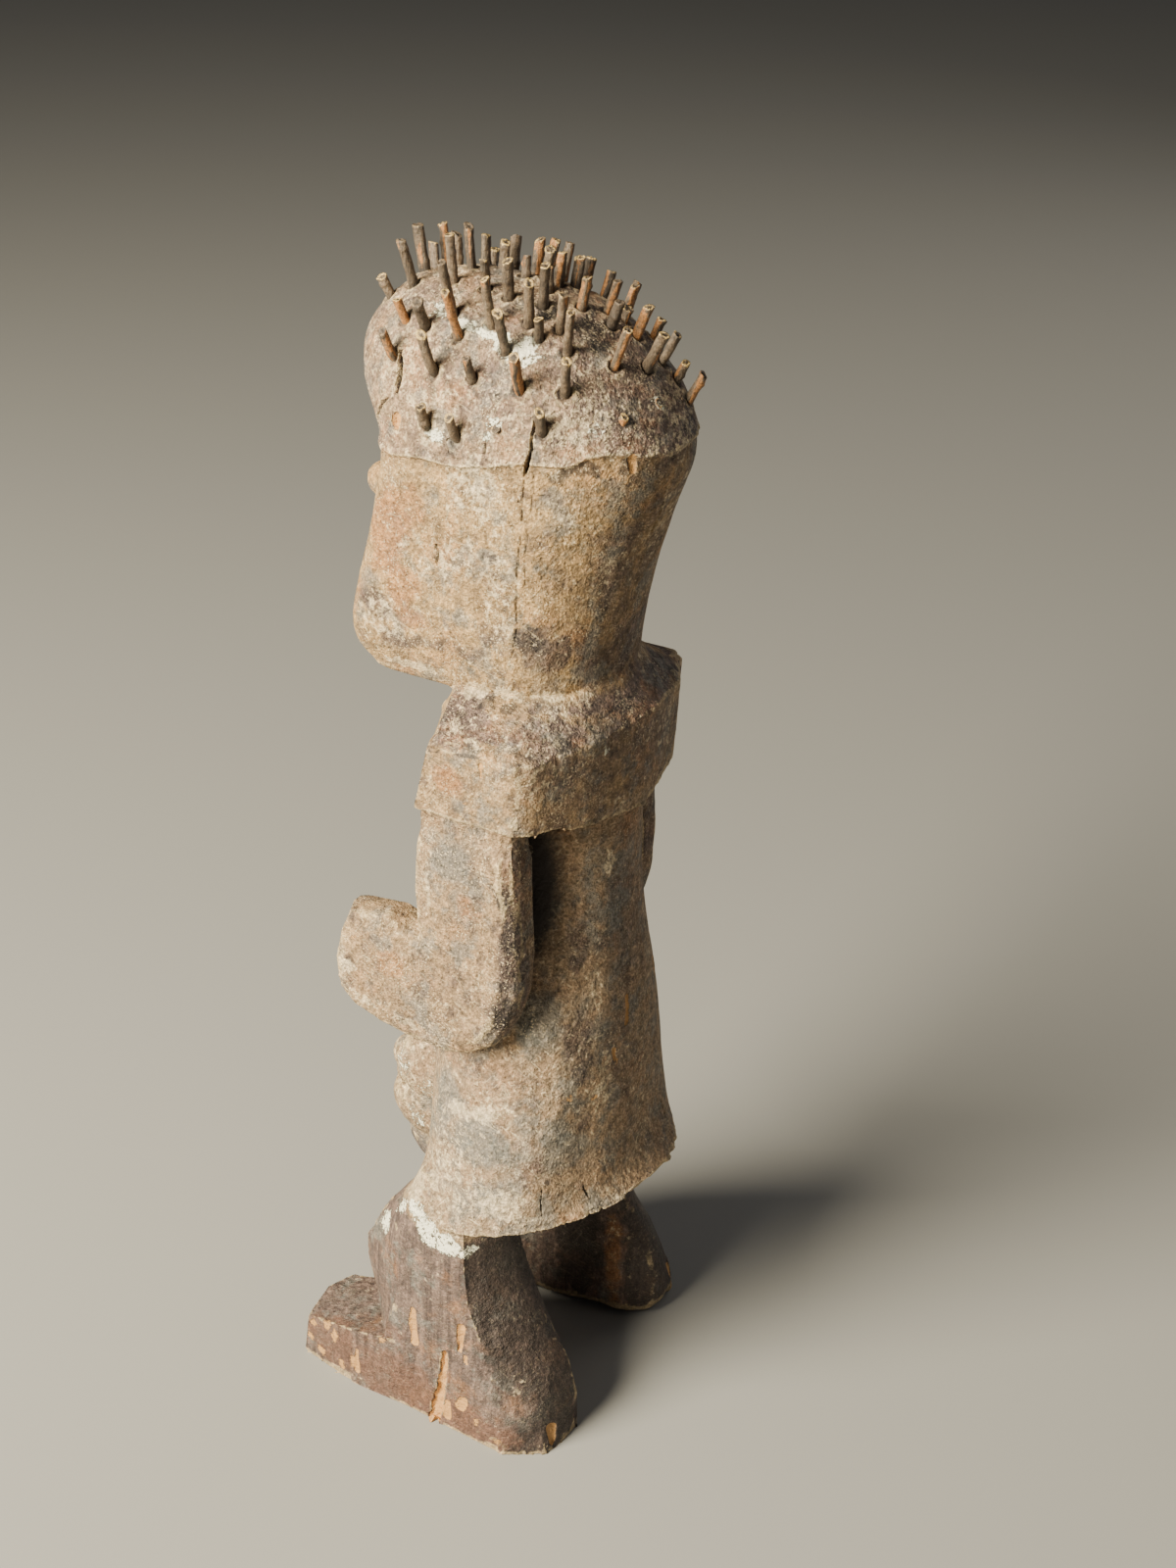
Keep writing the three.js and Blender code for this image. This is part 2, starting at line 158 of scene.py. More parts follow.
camera = {
    "place": (0.5837, 0.3353, 0.5857),
    "heading": 28.0,  # degrees that the view turns from straight across the figure towards its front
    "pitch": 27.0,  # degrees below level
    "roll": 2.5,
    "lens": 49.93,
}


def setCamera():
    heading, pitch, roll = (math.radians(camera[k]) for k in ("heading", "pitch", "roll"))
    ahead = Vector((-math.cos(heading), -math.sin(heading), 0))
    right = Vector((-math.sin(heading), math.cos(heading), 0))
    up = Vector((0, 0, 1))
    view = ahead * math.cos(pitch) - up * math.sin(pitch)
    down = -up * math.cos(pitch) - ahead * math.sin(pitch)
    rightTurned = right * math.cos(roll) - down * math.sin(roll)
    downTurned = right * math.sin(roll) + down * math.cos(roll)
    data = bpy.data.cameras.new("camera")
    data.lens = camera["lens"]
    data.clip_start = 0.01
    seen = linked("camera", data)
    turn = Matrix((rightTurned, -downTurned, -view)).transposed().to_4x4()
    seen.matrix_world = Matrix.Translation(camera["place"]) @ turn
    bpy.context.scene.camera = seen


setCamera()
print("camera set")


# Material building

def srgb(red, green, blue):  # a colour as a picture shows it, 0 to 255, as a shader's linear colour
    channels = [c / 255 for c in (red, green, blue)]
    linear = [c / 12.92 if c <= 0.04045 else ((c + 0.055) / 1.055) ** 2.4 for c in channels]
    return (*linear, 1)


def feed(tree, socket, value):  # links the value if it is a socket, and otherwise sets it
    if isinstance(value, bpy.types.NodeSocket):
        tree.links.new(value, socket)
    else:
        socket.default_value = value


def addNode(tree, kind, **given):  # i0, i1 and capitalised names are inputs, other names are settings
    made = tree.nodes.new("ShaderNode" + kind)
    for key, value in given.items():
        if key[0] == "i" and key[1:].isdigit():
            feed(tree, made.inputs[int(key[1:])], value)
        elif key[0].isupper():
            feed(tree, made.inputs[key], value)
        else:
            setattr(made, key, value)
    return made


def useGroup(tree, group, **given):
    made = tree.nodes.new("ShaderNodeGroup")
    made.node_tree = group
    for key, value in given.items():
        feed(tree, made.inputs[key], value)
    return made


def mask(tree, name):
    return addNode(tree, "Attribute", attribute_name=name).outputs["Fac"]


def mathNode(tree, operation, *values):
    inputs = {f"i{k}": value for k, value in enumerate(values)}
    return addNode(tree, "Math", operation=operation, **inputs).outputs[0]


def times(tree, first, second):
    return mathNode(tree, "MULTIPLY", first, second)


def addTimes(tree, first, second, third):  # first times second, plus third
    return mathNode(tree, "MULTIPLY_ADD", first, second, third)


def ramp(tree, value, low, high, first=0.0, last=1.0, shape="LINEAR"):  # low to high becomes first to last
    made = addNode(tree, "MapRange", i0=value, i1=low, i2=high, i3=first, i4=last, interpolation_type=shape)
    return made.outputs[0]


def noise(tree, place, scale, detail, roughness, distortion=0.0):
    return addNode(tree, "TexNoise", Vector=place, Scale=scale, Detail=detail, Roughness=roughness,
                   Distortion=distortion).outputs[0]


def mixColour(tree, share, under, over):
    return addNode(tree, "Mix", data_type="RGBA", i0=share, i6=under, i7=over).outputs[2]


def scaleVector(tree, vector, factor):
    return addNode(tree, "VectorMath", operation="SCALE", i0=vector, Scale=factor).outputs[0]


def stretchVector(tree, vector, factors):
    return addNode(tree, "VectorMath", operation="MULTIPLY", i0=vector, i1=factors).outputs[0]


def newGroup(name, inputs, outputs):  # inputs by name with their start values, outputs by name
    tree = bpy.data.node_groups.new(name, "ShaderNodeTree")
    tree.interface.new_socket(name="Place", in_out="INPUT", socket_type="NodeSocketVector")
    for label, value in inputs.items():
        socket = tree.interface.new_socket(name=label, in_out="INPUT", socket_type="NodeSocketFloat")
        socket.default_value = value
    for label in outputs:
        tree.interface.new_socket(name=label, in_out="OUTPUT", socket_type="NodeSocketFloat")
    return tree, tree.nodes.new("NodeGroupInput").outputs, tree.nodes.new("NodeGroupOutput").inputs


def raggedEdgeGroup():  # turns a soft painted share into a patch with a broken, flaky edge
    start = {"Mask": 0.0, "Grain": 200.0, "Ragged": 1.6, "Softness": 0.12}
    tree, given, result = newGroup("raggedEdge", start, ["Mask"])
    flakes = noise(tree, given["Place"], given["Grain"], 7.0, 0.68)
    spread = times(tree, mathNode(tree, "SUBTRACT", flakes, 0.5), given["Ragged"])
    shifted = mathNode(tree, "ADD", given["Mask"], spread)
    low = mathNode(tree, "SUBTRACT", 0.5, given["Softness"])
    high = mathNode(tree, "ADD", 0.5, given["Softness"])
    presence = mathNode(tree, "MINIMUM", 1.0, times(tree, given["Mask"], 6.0))
    feed(tree, result["Mask"], times(tree, ramp(tree, shifted, low, high, shape="SMOOTHSTEP"), presence))
    return tree


def woodGrainGroup():  # fibres that run up the block: a share for colour and a height
    tree, given, result = newGroup("woodGrain", {"Width": 420.0, "Stretch": 0.08}, ["Share", "Height"])
    drawn = addNode(tree, "CombineXYZ", X=1.0, Y=1.0, Z=given["Stretch"]).outputs[0]
    streaks = noise(tree, stretchVector(tree, given["Place"], drawn), given["Width"], 6.0, 0.68, 0.4)
    feed(tree, result["Share"], ramp(tree, streaks, 0.38, 0.62))
    feed(tree, result["Height"], streaks)
    return tree


def crustGroup():  # dry crust: waves, grains, lifted flakes and small pits, and flecks as a mask
    tree, given, result = newGroup("dryCrust", {"Size": 620.0, "Pits": 0.5}, ["Height", "Grains", "Flecks"])
    place, size = given["Place"], given["Size"]

    def layer(share, detail, roughness):
        return noise(tree, place, times(tree, size, share), detail, roughness)

    wave = layer(0.22, 3.0, 0.6)
    middle = layer(0.6, 3.0, 0.6)
    fine = layer(1.7, 3.0, 0.65)
    lifted = ramp(tree, layer(0.42, 3.0, 0.6), 0.51, 0.56)
    cells = addNode(tree, "TexVoronoi", Vector=place, Scale=times(tree, size, 0.55)).outputs["Distance"]
    pit = ramp(tree, cells, 0.06, 0.24)
    sunk = times(tree, mathNode(tree, "SUBTRACT", pit, 1.0), given["Pits"])
    height = addTimes(tree, wave, 0.6, times(tree, middle, 0.8))
    height = addTimes(tree, fine, 0.55, height)
    height = addTimes(tree, lifted, 0.12, height)
    feed(tree, result["Height"], addTimes(tree, sunk, 0.4, height))
    broad = times(tree, ramp(tree, middle, 0.32, 0.68), 0.45)
    both = addTimes(tree, ramp(tree, fine, 0.34, 0.66), 0.55, broad)
    feed(tree, result["Grains"], addTimes(tree, sunk, 0.45, both))
    # Flecks: pale specks, partly dirt and partly painted glints
    fleck = ramp(tree, layer(2.2, 1.0, 0.5), 0.62, 0.67)
    zone = ramp(tree, layer(0.13, 3.0, 0.6), 0.42, 0.60)
    feed(tree, result["Flecks"], times(tree, fleck, zone))
    return tree


def scratchGroup():  # sparse short scratches in one direction
    tree, given, result = newGroup("scratches", {"Turn": 0.6, "Rarity": 0.66}, ["Mask"])
    turned = addNode(tree, "VectorRotate", Vector=given["Place"], Axis=(0.9, 0.2, 0.1), Angle=given["Turn"])
    thin = noise(tree, stretchVector(tree, turned.outputs[0], (1.0, 1.0, 0.05)), 900.0, 2.0, 0.5)
    high = mathNode(tree, "ADD", given["Rarity"], 0.05)
    feed(tree, result["Mask"], ramp(tree, thin, given["Rarity"], high))
    return tree


raggedEdge = raggedEdgeGroup()
woodGrain = woodGrainGroup()
dryCrust = crustGroup()
scratches = scratchGroup()


def newMaterial(name):  # the material with its tree and its shader's inputs
    material = bpy.data.materials.new(name)
    material.use_nodes = True
    tree = material.node_tree
    return material, tree, tree.nodes["Principled BSDF"].inputs


def raggedCut(tree, place, name, grain, ragged, softness):  # a painted layer's mask, with its broken edge
    return useGroup(tree, raggedEdge, Mask=mask(tree, name), Place=place, Grain=grain, Ragged=ragged,
                    Softness=softness).outputs["Mask"]


carvedWood = {
    "pale": srgb(164, 134, 91),
    "tan": srgb(124, 99, 66),
    "brown": srgb(110, 91, 81),
    "umber": srgb(69, 56, 52),
    "rose": srgb(142, 118, 100),
    # pale dirt; the same colour also paints glints in the flecks and painted light on the lower trunk
    "dustAndPaintedLight": srgb(203, 184, 151),
    "clay": srgb(142, 97, 58),
    "rust": srgb(97, 67, 52),
    # grey colour, also used as a painted blue-grey sheen on the trunk
    "ashAndSheen": srgb(101, 100, 94),
    # near-black grime, also used as painted shade in recesses, gaps and on faces turned away from the light
    "sootAndShade": srgb(43, 36, 33),
    "chalk": srgb(241, 237, 212),
    "rawWood": srgb(194, 146, 90),
    # pale paint for a painted highlight along convex edges and the slab's upright arris
    "edge": srgb(184, 162, 124),
    # near black, painted shade inside the cracks
    "crack": srgb(18, 14, 13),
}


def carvedWoodMaterial():
    material, tree, shader = newMaterial("carvedWood")
    place = addNode(tree, "TexCoord").outputs["Object"]
    colours = carvedWood

    def drift(under, over, scale, low, high, strength):  # a colour that comes and goes over the whole body
        share = ramp(tree, noise(tree, place, scale, 6.0, 0.66), low, high)
        return mixColour(tree, times(tree, share, strength), under, colours[over])

    grain = useGroup(tree, woodGrain, Place=place).outputs
    crust = useGroup(tree, dryCrust, Place=place).outputs
    skin = drift(colours["tan"], "pale", 110.0, 0.40, 0.62, 1.0)
    skin = mixColour(tree, mask(tree, "rose"), skin, colours["rose"])
    dark = mixColour(tree, grain["Share"], colours["umber"], colours["brown"])
    colour = mixColour(tree, raggedCut(tree, place, "tone", 90.0, 1.2, 0.3), skin, dark)
    colour = drift(colour, "clay", 55.0, 0.53, 0.64, 0.38)
    colour = drift(colour, "ashAndSheen", 85.0, 0.52, 0.61, 0.65)
    colour = drift(colour, "umber", 150.0, 0.55, 0.63, 0.62)
    # Among these layers, the near-black one also paints shade and edge paints a highlight; the grey and
    # pale ones also carry a painted sheen and painted light
    for name, size, ragged, strength, softness in (
        ("ashAndSheen", 110.0, 1.7, 0.75, 0.3), ("clay", 130.0, 1.7, 0.75, 0.35), ("umber", 130.0, 2.0, 0.75, 0.25),
        ("rust", 150.0, 2.4, 0.7, 0.35), ("sootAndShade", 170.0, 2.1, 0.78, 0.2), ("dustAndPaintedLight", 420.0, 2.6, 0.62, 0.14),
        ("edge", 300.0, 1.8, 0.55, 0.2),
    ):
        cut = raggedCut(tree, place, name, size, ragged, softness)
        colour = mixColour(tree, times(tree, cut, strength), colour, colours[name])
    rough = mask(tree, "rough")
    contrast = ramp(tree, rough, 0.0, 1.0, 2.4, 7.0)
    lift = mathNode(tree, "POWER", contrast, mathNode(tree, "SUBTRACT", crust["Grains"], 0.5))
    fibre = ramp(tree, grain["Share"], 0.0, 1.0, 0.95, 1.04)
    colour = scaleVector(tree, colour, times(tree, lift, fibre))
    # pale flecks, partly dirt and partly painted glints
    colour = mixColour(tree, times(tree, crust["Flecks"], mask(tree, "fleck")), colour, colours["dustAndPaintedLight"])
    for turn, rarity in ((0.6, 0.67), (-0.9, 0.675), (1.9, 0.68)):
        line = useGroup(tree, scratches, Place=place, Turn=turn, Rarity=rarity).outputs["Mask"]
        colour = mixColour(tree, times(tree, line, mask(tree, "scratch")), colour, colours["dustAndPaintedLight"])
    wornCut = raggedCut(tree, place, "worn", 420.0, 2.0, 0.12)
    colour = mixColour(tree, times(tree, wornCut, 0.85), colour, colours["rawWood"])
    crumbs = ramp(tree, crust["Grains"], 0.16, 0.38)
    chalkCut = times(tree, raggedCut(tree, place, "chalk", 560.0, 3.0, 0.08), crumbs)
    colour = mixColour(tree, times(tree, chalkCut, 0.98), colour, colours["chalk"])
    # painted shade around each stick's foot, just below the cap's lip and in the gap beside the arm
    colour = mixColour(tree, mask(tree, "hollow"), colour, colours["sootAndShade"])
    # painted shade inside the cracks
    colour = mixColour(tree, mask(tree, "crack"), colour, colours["crack"])
    feed(tree, shader["Base Color"], colour)
    spread = ramp(tree, crust["Grains"], 0.0, 1.0, 0.14, -0.06)
    feed(tree, shader["Roughness"], mathNode(tree, "ADD", ramp(tree, rough, 0.0, 0.8, 0.42, 0.74), spread))
    shader["Specular IOR Level"].default_value = 0.45
    height = times(tree, crust["Height"], ramp(tree, rough, 0.0, 1.0, 0.35, 1.5))
    height = addTimes(tree, grain["Height"], 0.12, height)
    height = addTimes(tree, chalkCut, 0.5, height)
    height = addTimes(tree, wornCut, -0.25, height)
    bump = addNode(tree, "Bump", Strength=1.0, Distance=0.0011, Height=height)
    feed(tree, shader["Normal"], bump.outputs[0])
    return material


barkWood = {
    "bark": srgb(95, 76, 58),
    "grey": srgb(113, 99, 82),
    "peel": srgb(155, 106, 60),
    "tip": srgb(196, 166, 108),
    "dark": srgb(48, 40, 33),
}


def barkMaterial():
    material, tree, shader = newMaterial("stickBark")
    place = addNode(tree, "TexCoord").outputs["Object"]
    grain = useGroup(tree, woodGrain, Place=place, Width=1300.0, Stretch=0.16).outputs
    crust = useGroup(tree, dryCrust, Place=place, Size=1500.0, Pits=0.3).outputs
    colour = mixColour(tree, grain["Share"], barkWood["bark"], barkWood["grey"])
    colour = mixColour(tree, mask(tree, "shade"), colour, barkWood["dark"])
    for name, size, ragged in (("peel", 600.0, 1.4), ("tip", 900.0, 1.0)):
        cut = raggedCut(tree, place, name, size, ragged, 0.15)
        colour = mixColour(tree, times(tree, cut, 0.88), colour, barkWood[name])
    spots = ramp(tree, crust["Grains"], 0.2, 0.8, 0.45, 1.5)
    feed(tree, shader["Base Color"], scaleVector(tree, colour, spots))
    shader["Roughness"].default_value = 0.55
    shader["Specular IOR Level"].default_value = 0.5
    height = mathNode(tree, "ADD", grain["Height"], times(tree, crust["Height"], 0.5))
    bump = addNode(tree, "Bump", Strength=1.0, Distance=0.0005, Height=height)
    feed(tree, shader["Normal"], bump.outputs[0])
    return material


carvedWoodFinish = carvedWoodMaterial()
barkFinish = barkMaterial()
print("materials built")


# Where the sticks stand, read from the CAD nodes that they replace

def stickLines():  # root, direction and length of each stick node, in millimetres
    found = {}
    for name in sorted(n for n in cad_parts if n.startswith("stick_")):
        points, _, _ = meshArrays(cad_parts[name].data)
        middle = points.mean(0)
        _, _, axes = np.linalg.svd(points - middle, full_matrices=False)
        direction = axes[0] if axes[0][2] > 0 else -axes[0]
        reach = (points - middle) @ direction
        found[name] = (middle + direction * reach.min(), direction, reach.max() - reach.min())
    return found


sticks = stickLines()
stickSeat = 8.0  # how deep each stick is driven in


# The carved figure: a fine skin over the CAD solid, then the carver's marks and a long life's wear

figureSkin = {
    "voxel": 1.5,
    "calmRounds": 2,  # rounds of smoothing all over
    "broadRounds": 40,  # more rounds where no arris runs
    "arrisAngle": 0.6,  # radians between two faces of the solid that make an arris
    "arrisReach": 1.1,  # how near a point of the skin must be to an arris to be set on it
    "arrisTop": 366,  # the arrises are kept crisp below the crown
    "arrisSide": -8,  # and on the near side
    "crease": 0.012,  # how sharply the skin turns where it follows an arris
    "sharpAngle": 0.6,  # radians between two faces of the skin that shade as a crisp edge
    "plugRadius": 2.6,  # closes the sockets under the sticks
    "farShare": 0.69,  # share of the faces kept when the right side and the undersides are made coarser
    "facetCount": 520,
    "facetStretch": 0.55,  # facets are this much longer along the block than across it
    "facetSpacing": 9.0,
    "armInside": (36.5, 38.5),  # how far out the trunk gives way to the arms
}

# Where the skin gets smaller faces
fineFaces = {
    "side": -4,  # only on the near side
    "foot": 1.5,  # above the soles
    "down": -0.75,  # and not on undersides, by the height of the normal
    "stickReach": 3.4,
    "lipReach": 1.6,
    "lipFoot": 355,
    "margin": 1.2,  # beyond the width of a crack or a chip
}

# Heights between which one part of the body gives way to the next
levels = {
    "hem": (80, 92),
    "waist": (140, 200),
    "chest": (140, 220),
    "elbow": (160, 168),
    "elbowInside": (165, 175),
    "shoulder": (238, 247),
    "armpit": (244, 252),
    "slabFoot": (252, 256),
    "slabArris": (252.5, 254),
    "slabTop": (288, 294),
    "neck": (290, 296),
    "brow": (350, 358),
    "crown": (352, 360),
}

# The lip where the clay cap of the crown ends, as heights along Y
capEdge = {
    "along": [-61.5, -47.5, -33.5, -23.5, -3.5, 6.5, 15.5, 23.5, 31.5, 36.5, 42.5, 54.5],
    "height": [371, 369, 365, 366, 367, 369, 371, 372, 372, 375, 376, 374],
    "rise": 0.7,
}


def baked(thing):  # a mesh with the object's modifiers applied
    mesh = bpy.data.meshes.new_from_object(thing.evaluated_get(bpy.context.evaluated_depsgraph_get()))
    thing.modifiers.clear()
    thing.data = mesh
    return mesh


def setGroup(thing, name, shares):  # a vertex group from an array of shares, in ten steps
    group = thing.vertex_groups.new(name=name)
    for step in range(1, 11):
        chosen = np.flatnonzero(np.round(shares * 10) == step)
        group.add(chosen.tolist(), step / 10, "REPLACE")
    return name


def solidCopy():  # the CAD solid with its sockets filled
    built = bmesh.new()
    built.from_mesh(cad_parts["figure"].data)
    bmesh.ops.remove_doubles(built, verts=built.verts, dist=1e-6)
    radius = figureSkin["plugRadius"] * mm
    for root, direction, _ in sticks.values():
        low, high = root - direction * 0.6, root + direction * (stickSeat - 0.3)
        place = Matrix.Translation(Vector((low + high) / 2 * mm))
        turn = Vector(direction).to_track_quat("Z", "Y").to_matrix().to_4x4()
        depth = float(np.linalg.norm(high - low)) * mm
        bmesh.ops.create_cone(built, cap_ends=True, segments=10, radius1=radius, radius2=radius,
                              depth=depth, matrix=place @ turn)
    mesh = bpy.data.meshes.new("figureSolid")
    built.to_mesh(mesh)
    built.free()
    return linked("figureSolid", mesh)


def creaseShare(normals, edges):  # how sharply the skin turns at each point
    turning = 1 - np.linalg.norm(neighbourMean(normals, edges), axis=1)
    return neighbourMean(turning, edges)[:, 0]


def arrisSamples(solid):  # closely spaced points along the solid's arrises, near side only
    built = bmesh.new()
    built.from_mesh(solid.data)
    sharp = [e for e in built.edges if e.is_manifold and e.calc_face_angle(0) > figureSkin["arrisAngle"]]
    ends = np.array([[tuple(v.co) for v in e.verts] for e in sharp]) / mm
    built.free()
    low = ends[:, :, 2].max(1) < figureSkin["arrisTop"]
    ends = ends[low & (ends[:, :, 0].max(1) > figureSkin["arrisSide"])]
    spacing = 0.4
    count = np.ceil(np.linalg.norm(ends[:, 1] - ends[:, 0], axis=1) / spacing).astype(int) + 1
    first = np.repeat(np.cumsum(count) - count, count)
    share = (np.arange(count.sum()) - first) / np.repeat(np.maximum(count - 1, 1), count)
    edge = np.repeat(np.arange(len(ends)), count)
    return ends[edge, 0] + (ends[edge, 1] - ends[edge, 0]) * share[:, None]


def squaredGaps(points, others):  # the squared distance from each point to each of the others
    return (points ** 2).sum(1)[:, None] + (others ** 2).sum(1) - 2 * points @ others.T


def setOnArrises(points, chosen, samples):  # the chosen points that are near an arris are moved onto it
    moved = points.copy()
    band, margin = 6.0, 1.5
    for low in np.arange(0, figureSkin["arrisTop"], band):  # band by band, so that few distances are taken
        rows = chosen[(points[chosen, 2] >= low) & (points[chosen, 2] < low + band)]
        near = samples[(samples[:, 2] > low - margin) & (samples[:, 2] < low + band + margin)]
        if len(rows) == 0 or len(near) == 0:
            continue
        gaps = squaredGaps(points[rows], near)
        nearest = gaps.argmin(1)
        close = gaps[np.arange(len(rows)), nearest] < figureSkin["arrisReach"] ** 2
        moved[rows[close]] = near[nearest[close]]
    return moved


def skinMesh():  # even small faces over the solid, with its arrises kept crisp on the near side
    solid = solidCopy()
    thing = linked("figureSkin", solid.data.copy())
    remesh = thing.modifiers.new("remesh", "REMESH")
    remesh.mode = "VOXEL"
    remesh.voxel_size = figureSkin["voxel"] * mm
    points, normals, _ = meshArrays(baked(thing))
    innerLeg = smoothStep(-42, -36, points[:, 0]) * (points[:, 2] < 98) * (points[:, 1] > 0)
    farSide = smoothStep(-2, -14, points[:, 0]) * (1 - innerLeg)
    underside = smoothStep(-0.5, -0.8, normals[:, 2])
    fewer = thing.modifiers.new("fewer", "DECIMATE")
    fewer.ratio = figureSkin["farShare"]
    fewer.vertex_group = setGroup(thing, "far", np.maximum(farSide, underside))
    mesh = baked(thing)
    refine(mesh)
    _, normals, edges = meshArrays(mesh)
    thing.vertex_groups.clear()
    wrap = thing.modifiers.new("wrap", "SHRINKWRAP")
    wrap.target = solid
    wrap.vertex_group = setGroup(thing, "crisp", smoothStep(0.004, 0.02, creaseShare(normals, edges)))
    mesh = baked(thing)
    points, normals, edges = meshArrays(mesh)
    onCrease = np.flatnonzero(creaseShare(normals, edges) > figureSkin["crease"])
    putPlaces(mesh, setOnArrises(points, onCrease, arrisSamples(solid)))
    bpy.data.objects.remove(thing)
    bpy.data.objects.remove(solid)
    return mesh


# Cracks: a path on the surface, the width at the surface and the depth
cracks = [
    ([(31, -30.5, 397), (32, -29.5, 393), (34, -29.5, 388), (34, -29.5, 385)], 1.5, 2.4),
    ([(34, -29.5, 385), (33, -35.5, 380), (32, -38.5, 375), (31, -41.5, 371)], 1.0, 1.6),
    ([(35, 20.5, 386), (36, 20.5, 381), (37, 20.5, 377), (37, 19.5, 373), (37, 18.5, 369)], 1.15, 2.4),
    ([(37, 18.5, 369), (37, 17.5, 353), (36, 16.5, 342), (36, 15.5, 331), (35, 15.5, 316),
      (35, 13.5, 303)], 0.5, 0.55),
    ([(37, 21.5, 369), (37, 20.5, 354), (36, 18.5, 343), (35, 18.5, 330)], 0.4, 0.35),
    ([(38, 6.5, 380), (38, 5.5, 376), (38, 5.5, 371)], 0.6, 0.8),
    ([(38, -7.5, 374), (38, -8.5, 366)], 0.55, 0.6),
    ([(37, -13.5, 339), (37, -12.5, 336), (37, -13.5, 333)], 1.2, 0.9),
    ([(33, 48.5, 109), (32, 47.5, 105), (32, 48.5, 101)], 0.6, 1.2),
    ([(47, 37.5, 112), (46, 37.5, 107), (46, 38.5, 102)], 0.5, 0.8),
    ([(-20, 52.5, 120), (-22, 53.5, 108), (-21, 54.5, 101)], 0.6, 1.0),
    ([(-37, -21.5, 380), (-38, -15.5, 372), (-37, -11.5, 352), (-36, -10.5, 334)], 0.8, 1.0),
    ([(6, 52.5, 372), (4, 48.5, 352), (5, 44.5, 336)], 0.6, 0.7),
]

# Arrises picked out in paint: the dark lines along the slab's top arris are painted shadow lines with some
# dark crust, the light line on its upright arris is a painted highlight, and a dark line runs down the
# leg's arris; a path, a width and the layer that it paints
lines = [
    ([(56, -6, 276.5), (56, 12, 278.5), (54, 28.5, 280), (38, 35.5, 283)], 1.1, "sootAndShade"),
    ([(38, 35.5, 283), (18, 41, 286.5), (0, 43, 288)], 0.8, "sootAndShade"),
    ([(54, 28.5, 279), (54, 28.5, 257)], 0.8, "edge"),
    ([(57, 28, 74), (58, 27, 50)], 0.8, "sootAndShade"),
]

# Fresh chips down to raw wood: a path, the widths at its two ends and the depth
chips = [
    ([(59, 7.5, 34), (60, 6.5, 20), (60, 3.5, 1)], (1.2, 3.2), 2.4),
    ([(59, 14.5, 49), (59, 13.5, 44), (59, 13.5, 38)], (2.3, 0.9), 1.5),
    ([(58, -7.5, 47), (58, -7.5, 40), (58, -6.5, 32)], (1.5, 2.2), 0.9),
    ([(59, 16.5, 36), (59, 16.5, 33)], (1.0, 0.8), 0.6),
    ([(60, 16.5, 16), (60, 15.5, 12)], (2.6, 2.0), 0.5),
    ([(60, 9.5, 12), (60, 9.5, 5)], (1.4, 1.8), 0.5),
    ([(49, 48.5, 9), (49, 48.5, 3)], (3.0, 2.2), 1.4),
    ([(57, -32.5, 16), (58, -32.5, 6)], (1.0, 1.4), 0.6),
    ([(6, 47.5, 174), (6, 47.5, 169), (7, 47.5, 164)], (0.9, 1.3), 1.0),
    ([(15, 47.5, 157), (15, 47.5, 153)], (1.1, 0.8), 0.7),
    ([(55, 15.5, 277), (55, 15.5, 272)], (0.8, 0.6), 0.5),
    ([(36, -28.5, 377), (36, -28.5, 375)], (2.0, 1.8), 2.6),
    ([(22, 46.5, 375), (22, 46.5, 371)], (1.6, 1.2), 0.7),
    ([(-58, 18.5, 44), (-59, 18.5, 34)], (1.6, 1.0), 0.9),
    ([(-57, -31.5, 14), (-58, -29.5, 6)], (1.8, 1.2), 0.8),
    ([(-52, 44.5, 12), (-52, 45.5, 4)], (2.0, 2.4), 1.1),
    ([(-20, 49.5, 176), (-19, 49.5, 168)], (1.0, 0.8), 0.7),
]

# Long arrises between two planed faces: a path, how far its slopes reach and how high it stands
arrises = [
    ([(46, 35.5, 108), (40, 35.5, 125), (34, 33.5, 150), (30, 31.5, 172)], 14, 1.2),
    ([(54, 22.5, 242), (54, 25.5, 225), (55, 25.5, 205), (54, 23.5, 186), (50, 16.5, 172)], 7, 1.4),
    ([(26, 20.5, 300), (26, 22.5, 330), (28, 27.5, 360)], 13, 0.5),
    ([(-50, 31.5, 108), (-46, 31.5, 130), (-41, 28.5, 160)], 15, 1.6),
    ([(56, -17.5, 78), (58, -23.5, 60), (58, -27.5, 44)], 8, 0.7),
]

# Hollows cut or worn into lumps: place, reach and depth
cavities = [
    ((11, -42.5, 106), 4.5, 2.2), ((10, -44.5, 128), 3.0, 1.2), ((6, 46.5, 182), 6.0, 1.0),
    ((56, 26.5, 55), 2.6, 1.3), ((56, 18.5, 75), 2.2, 1.0), ((56, 24.5, 63), 2.0, 0.9),
    ((-8, -41.5, 112), 4.0, 1.6), ((-36, 10.5, 330), 3.0, 0.6),
]

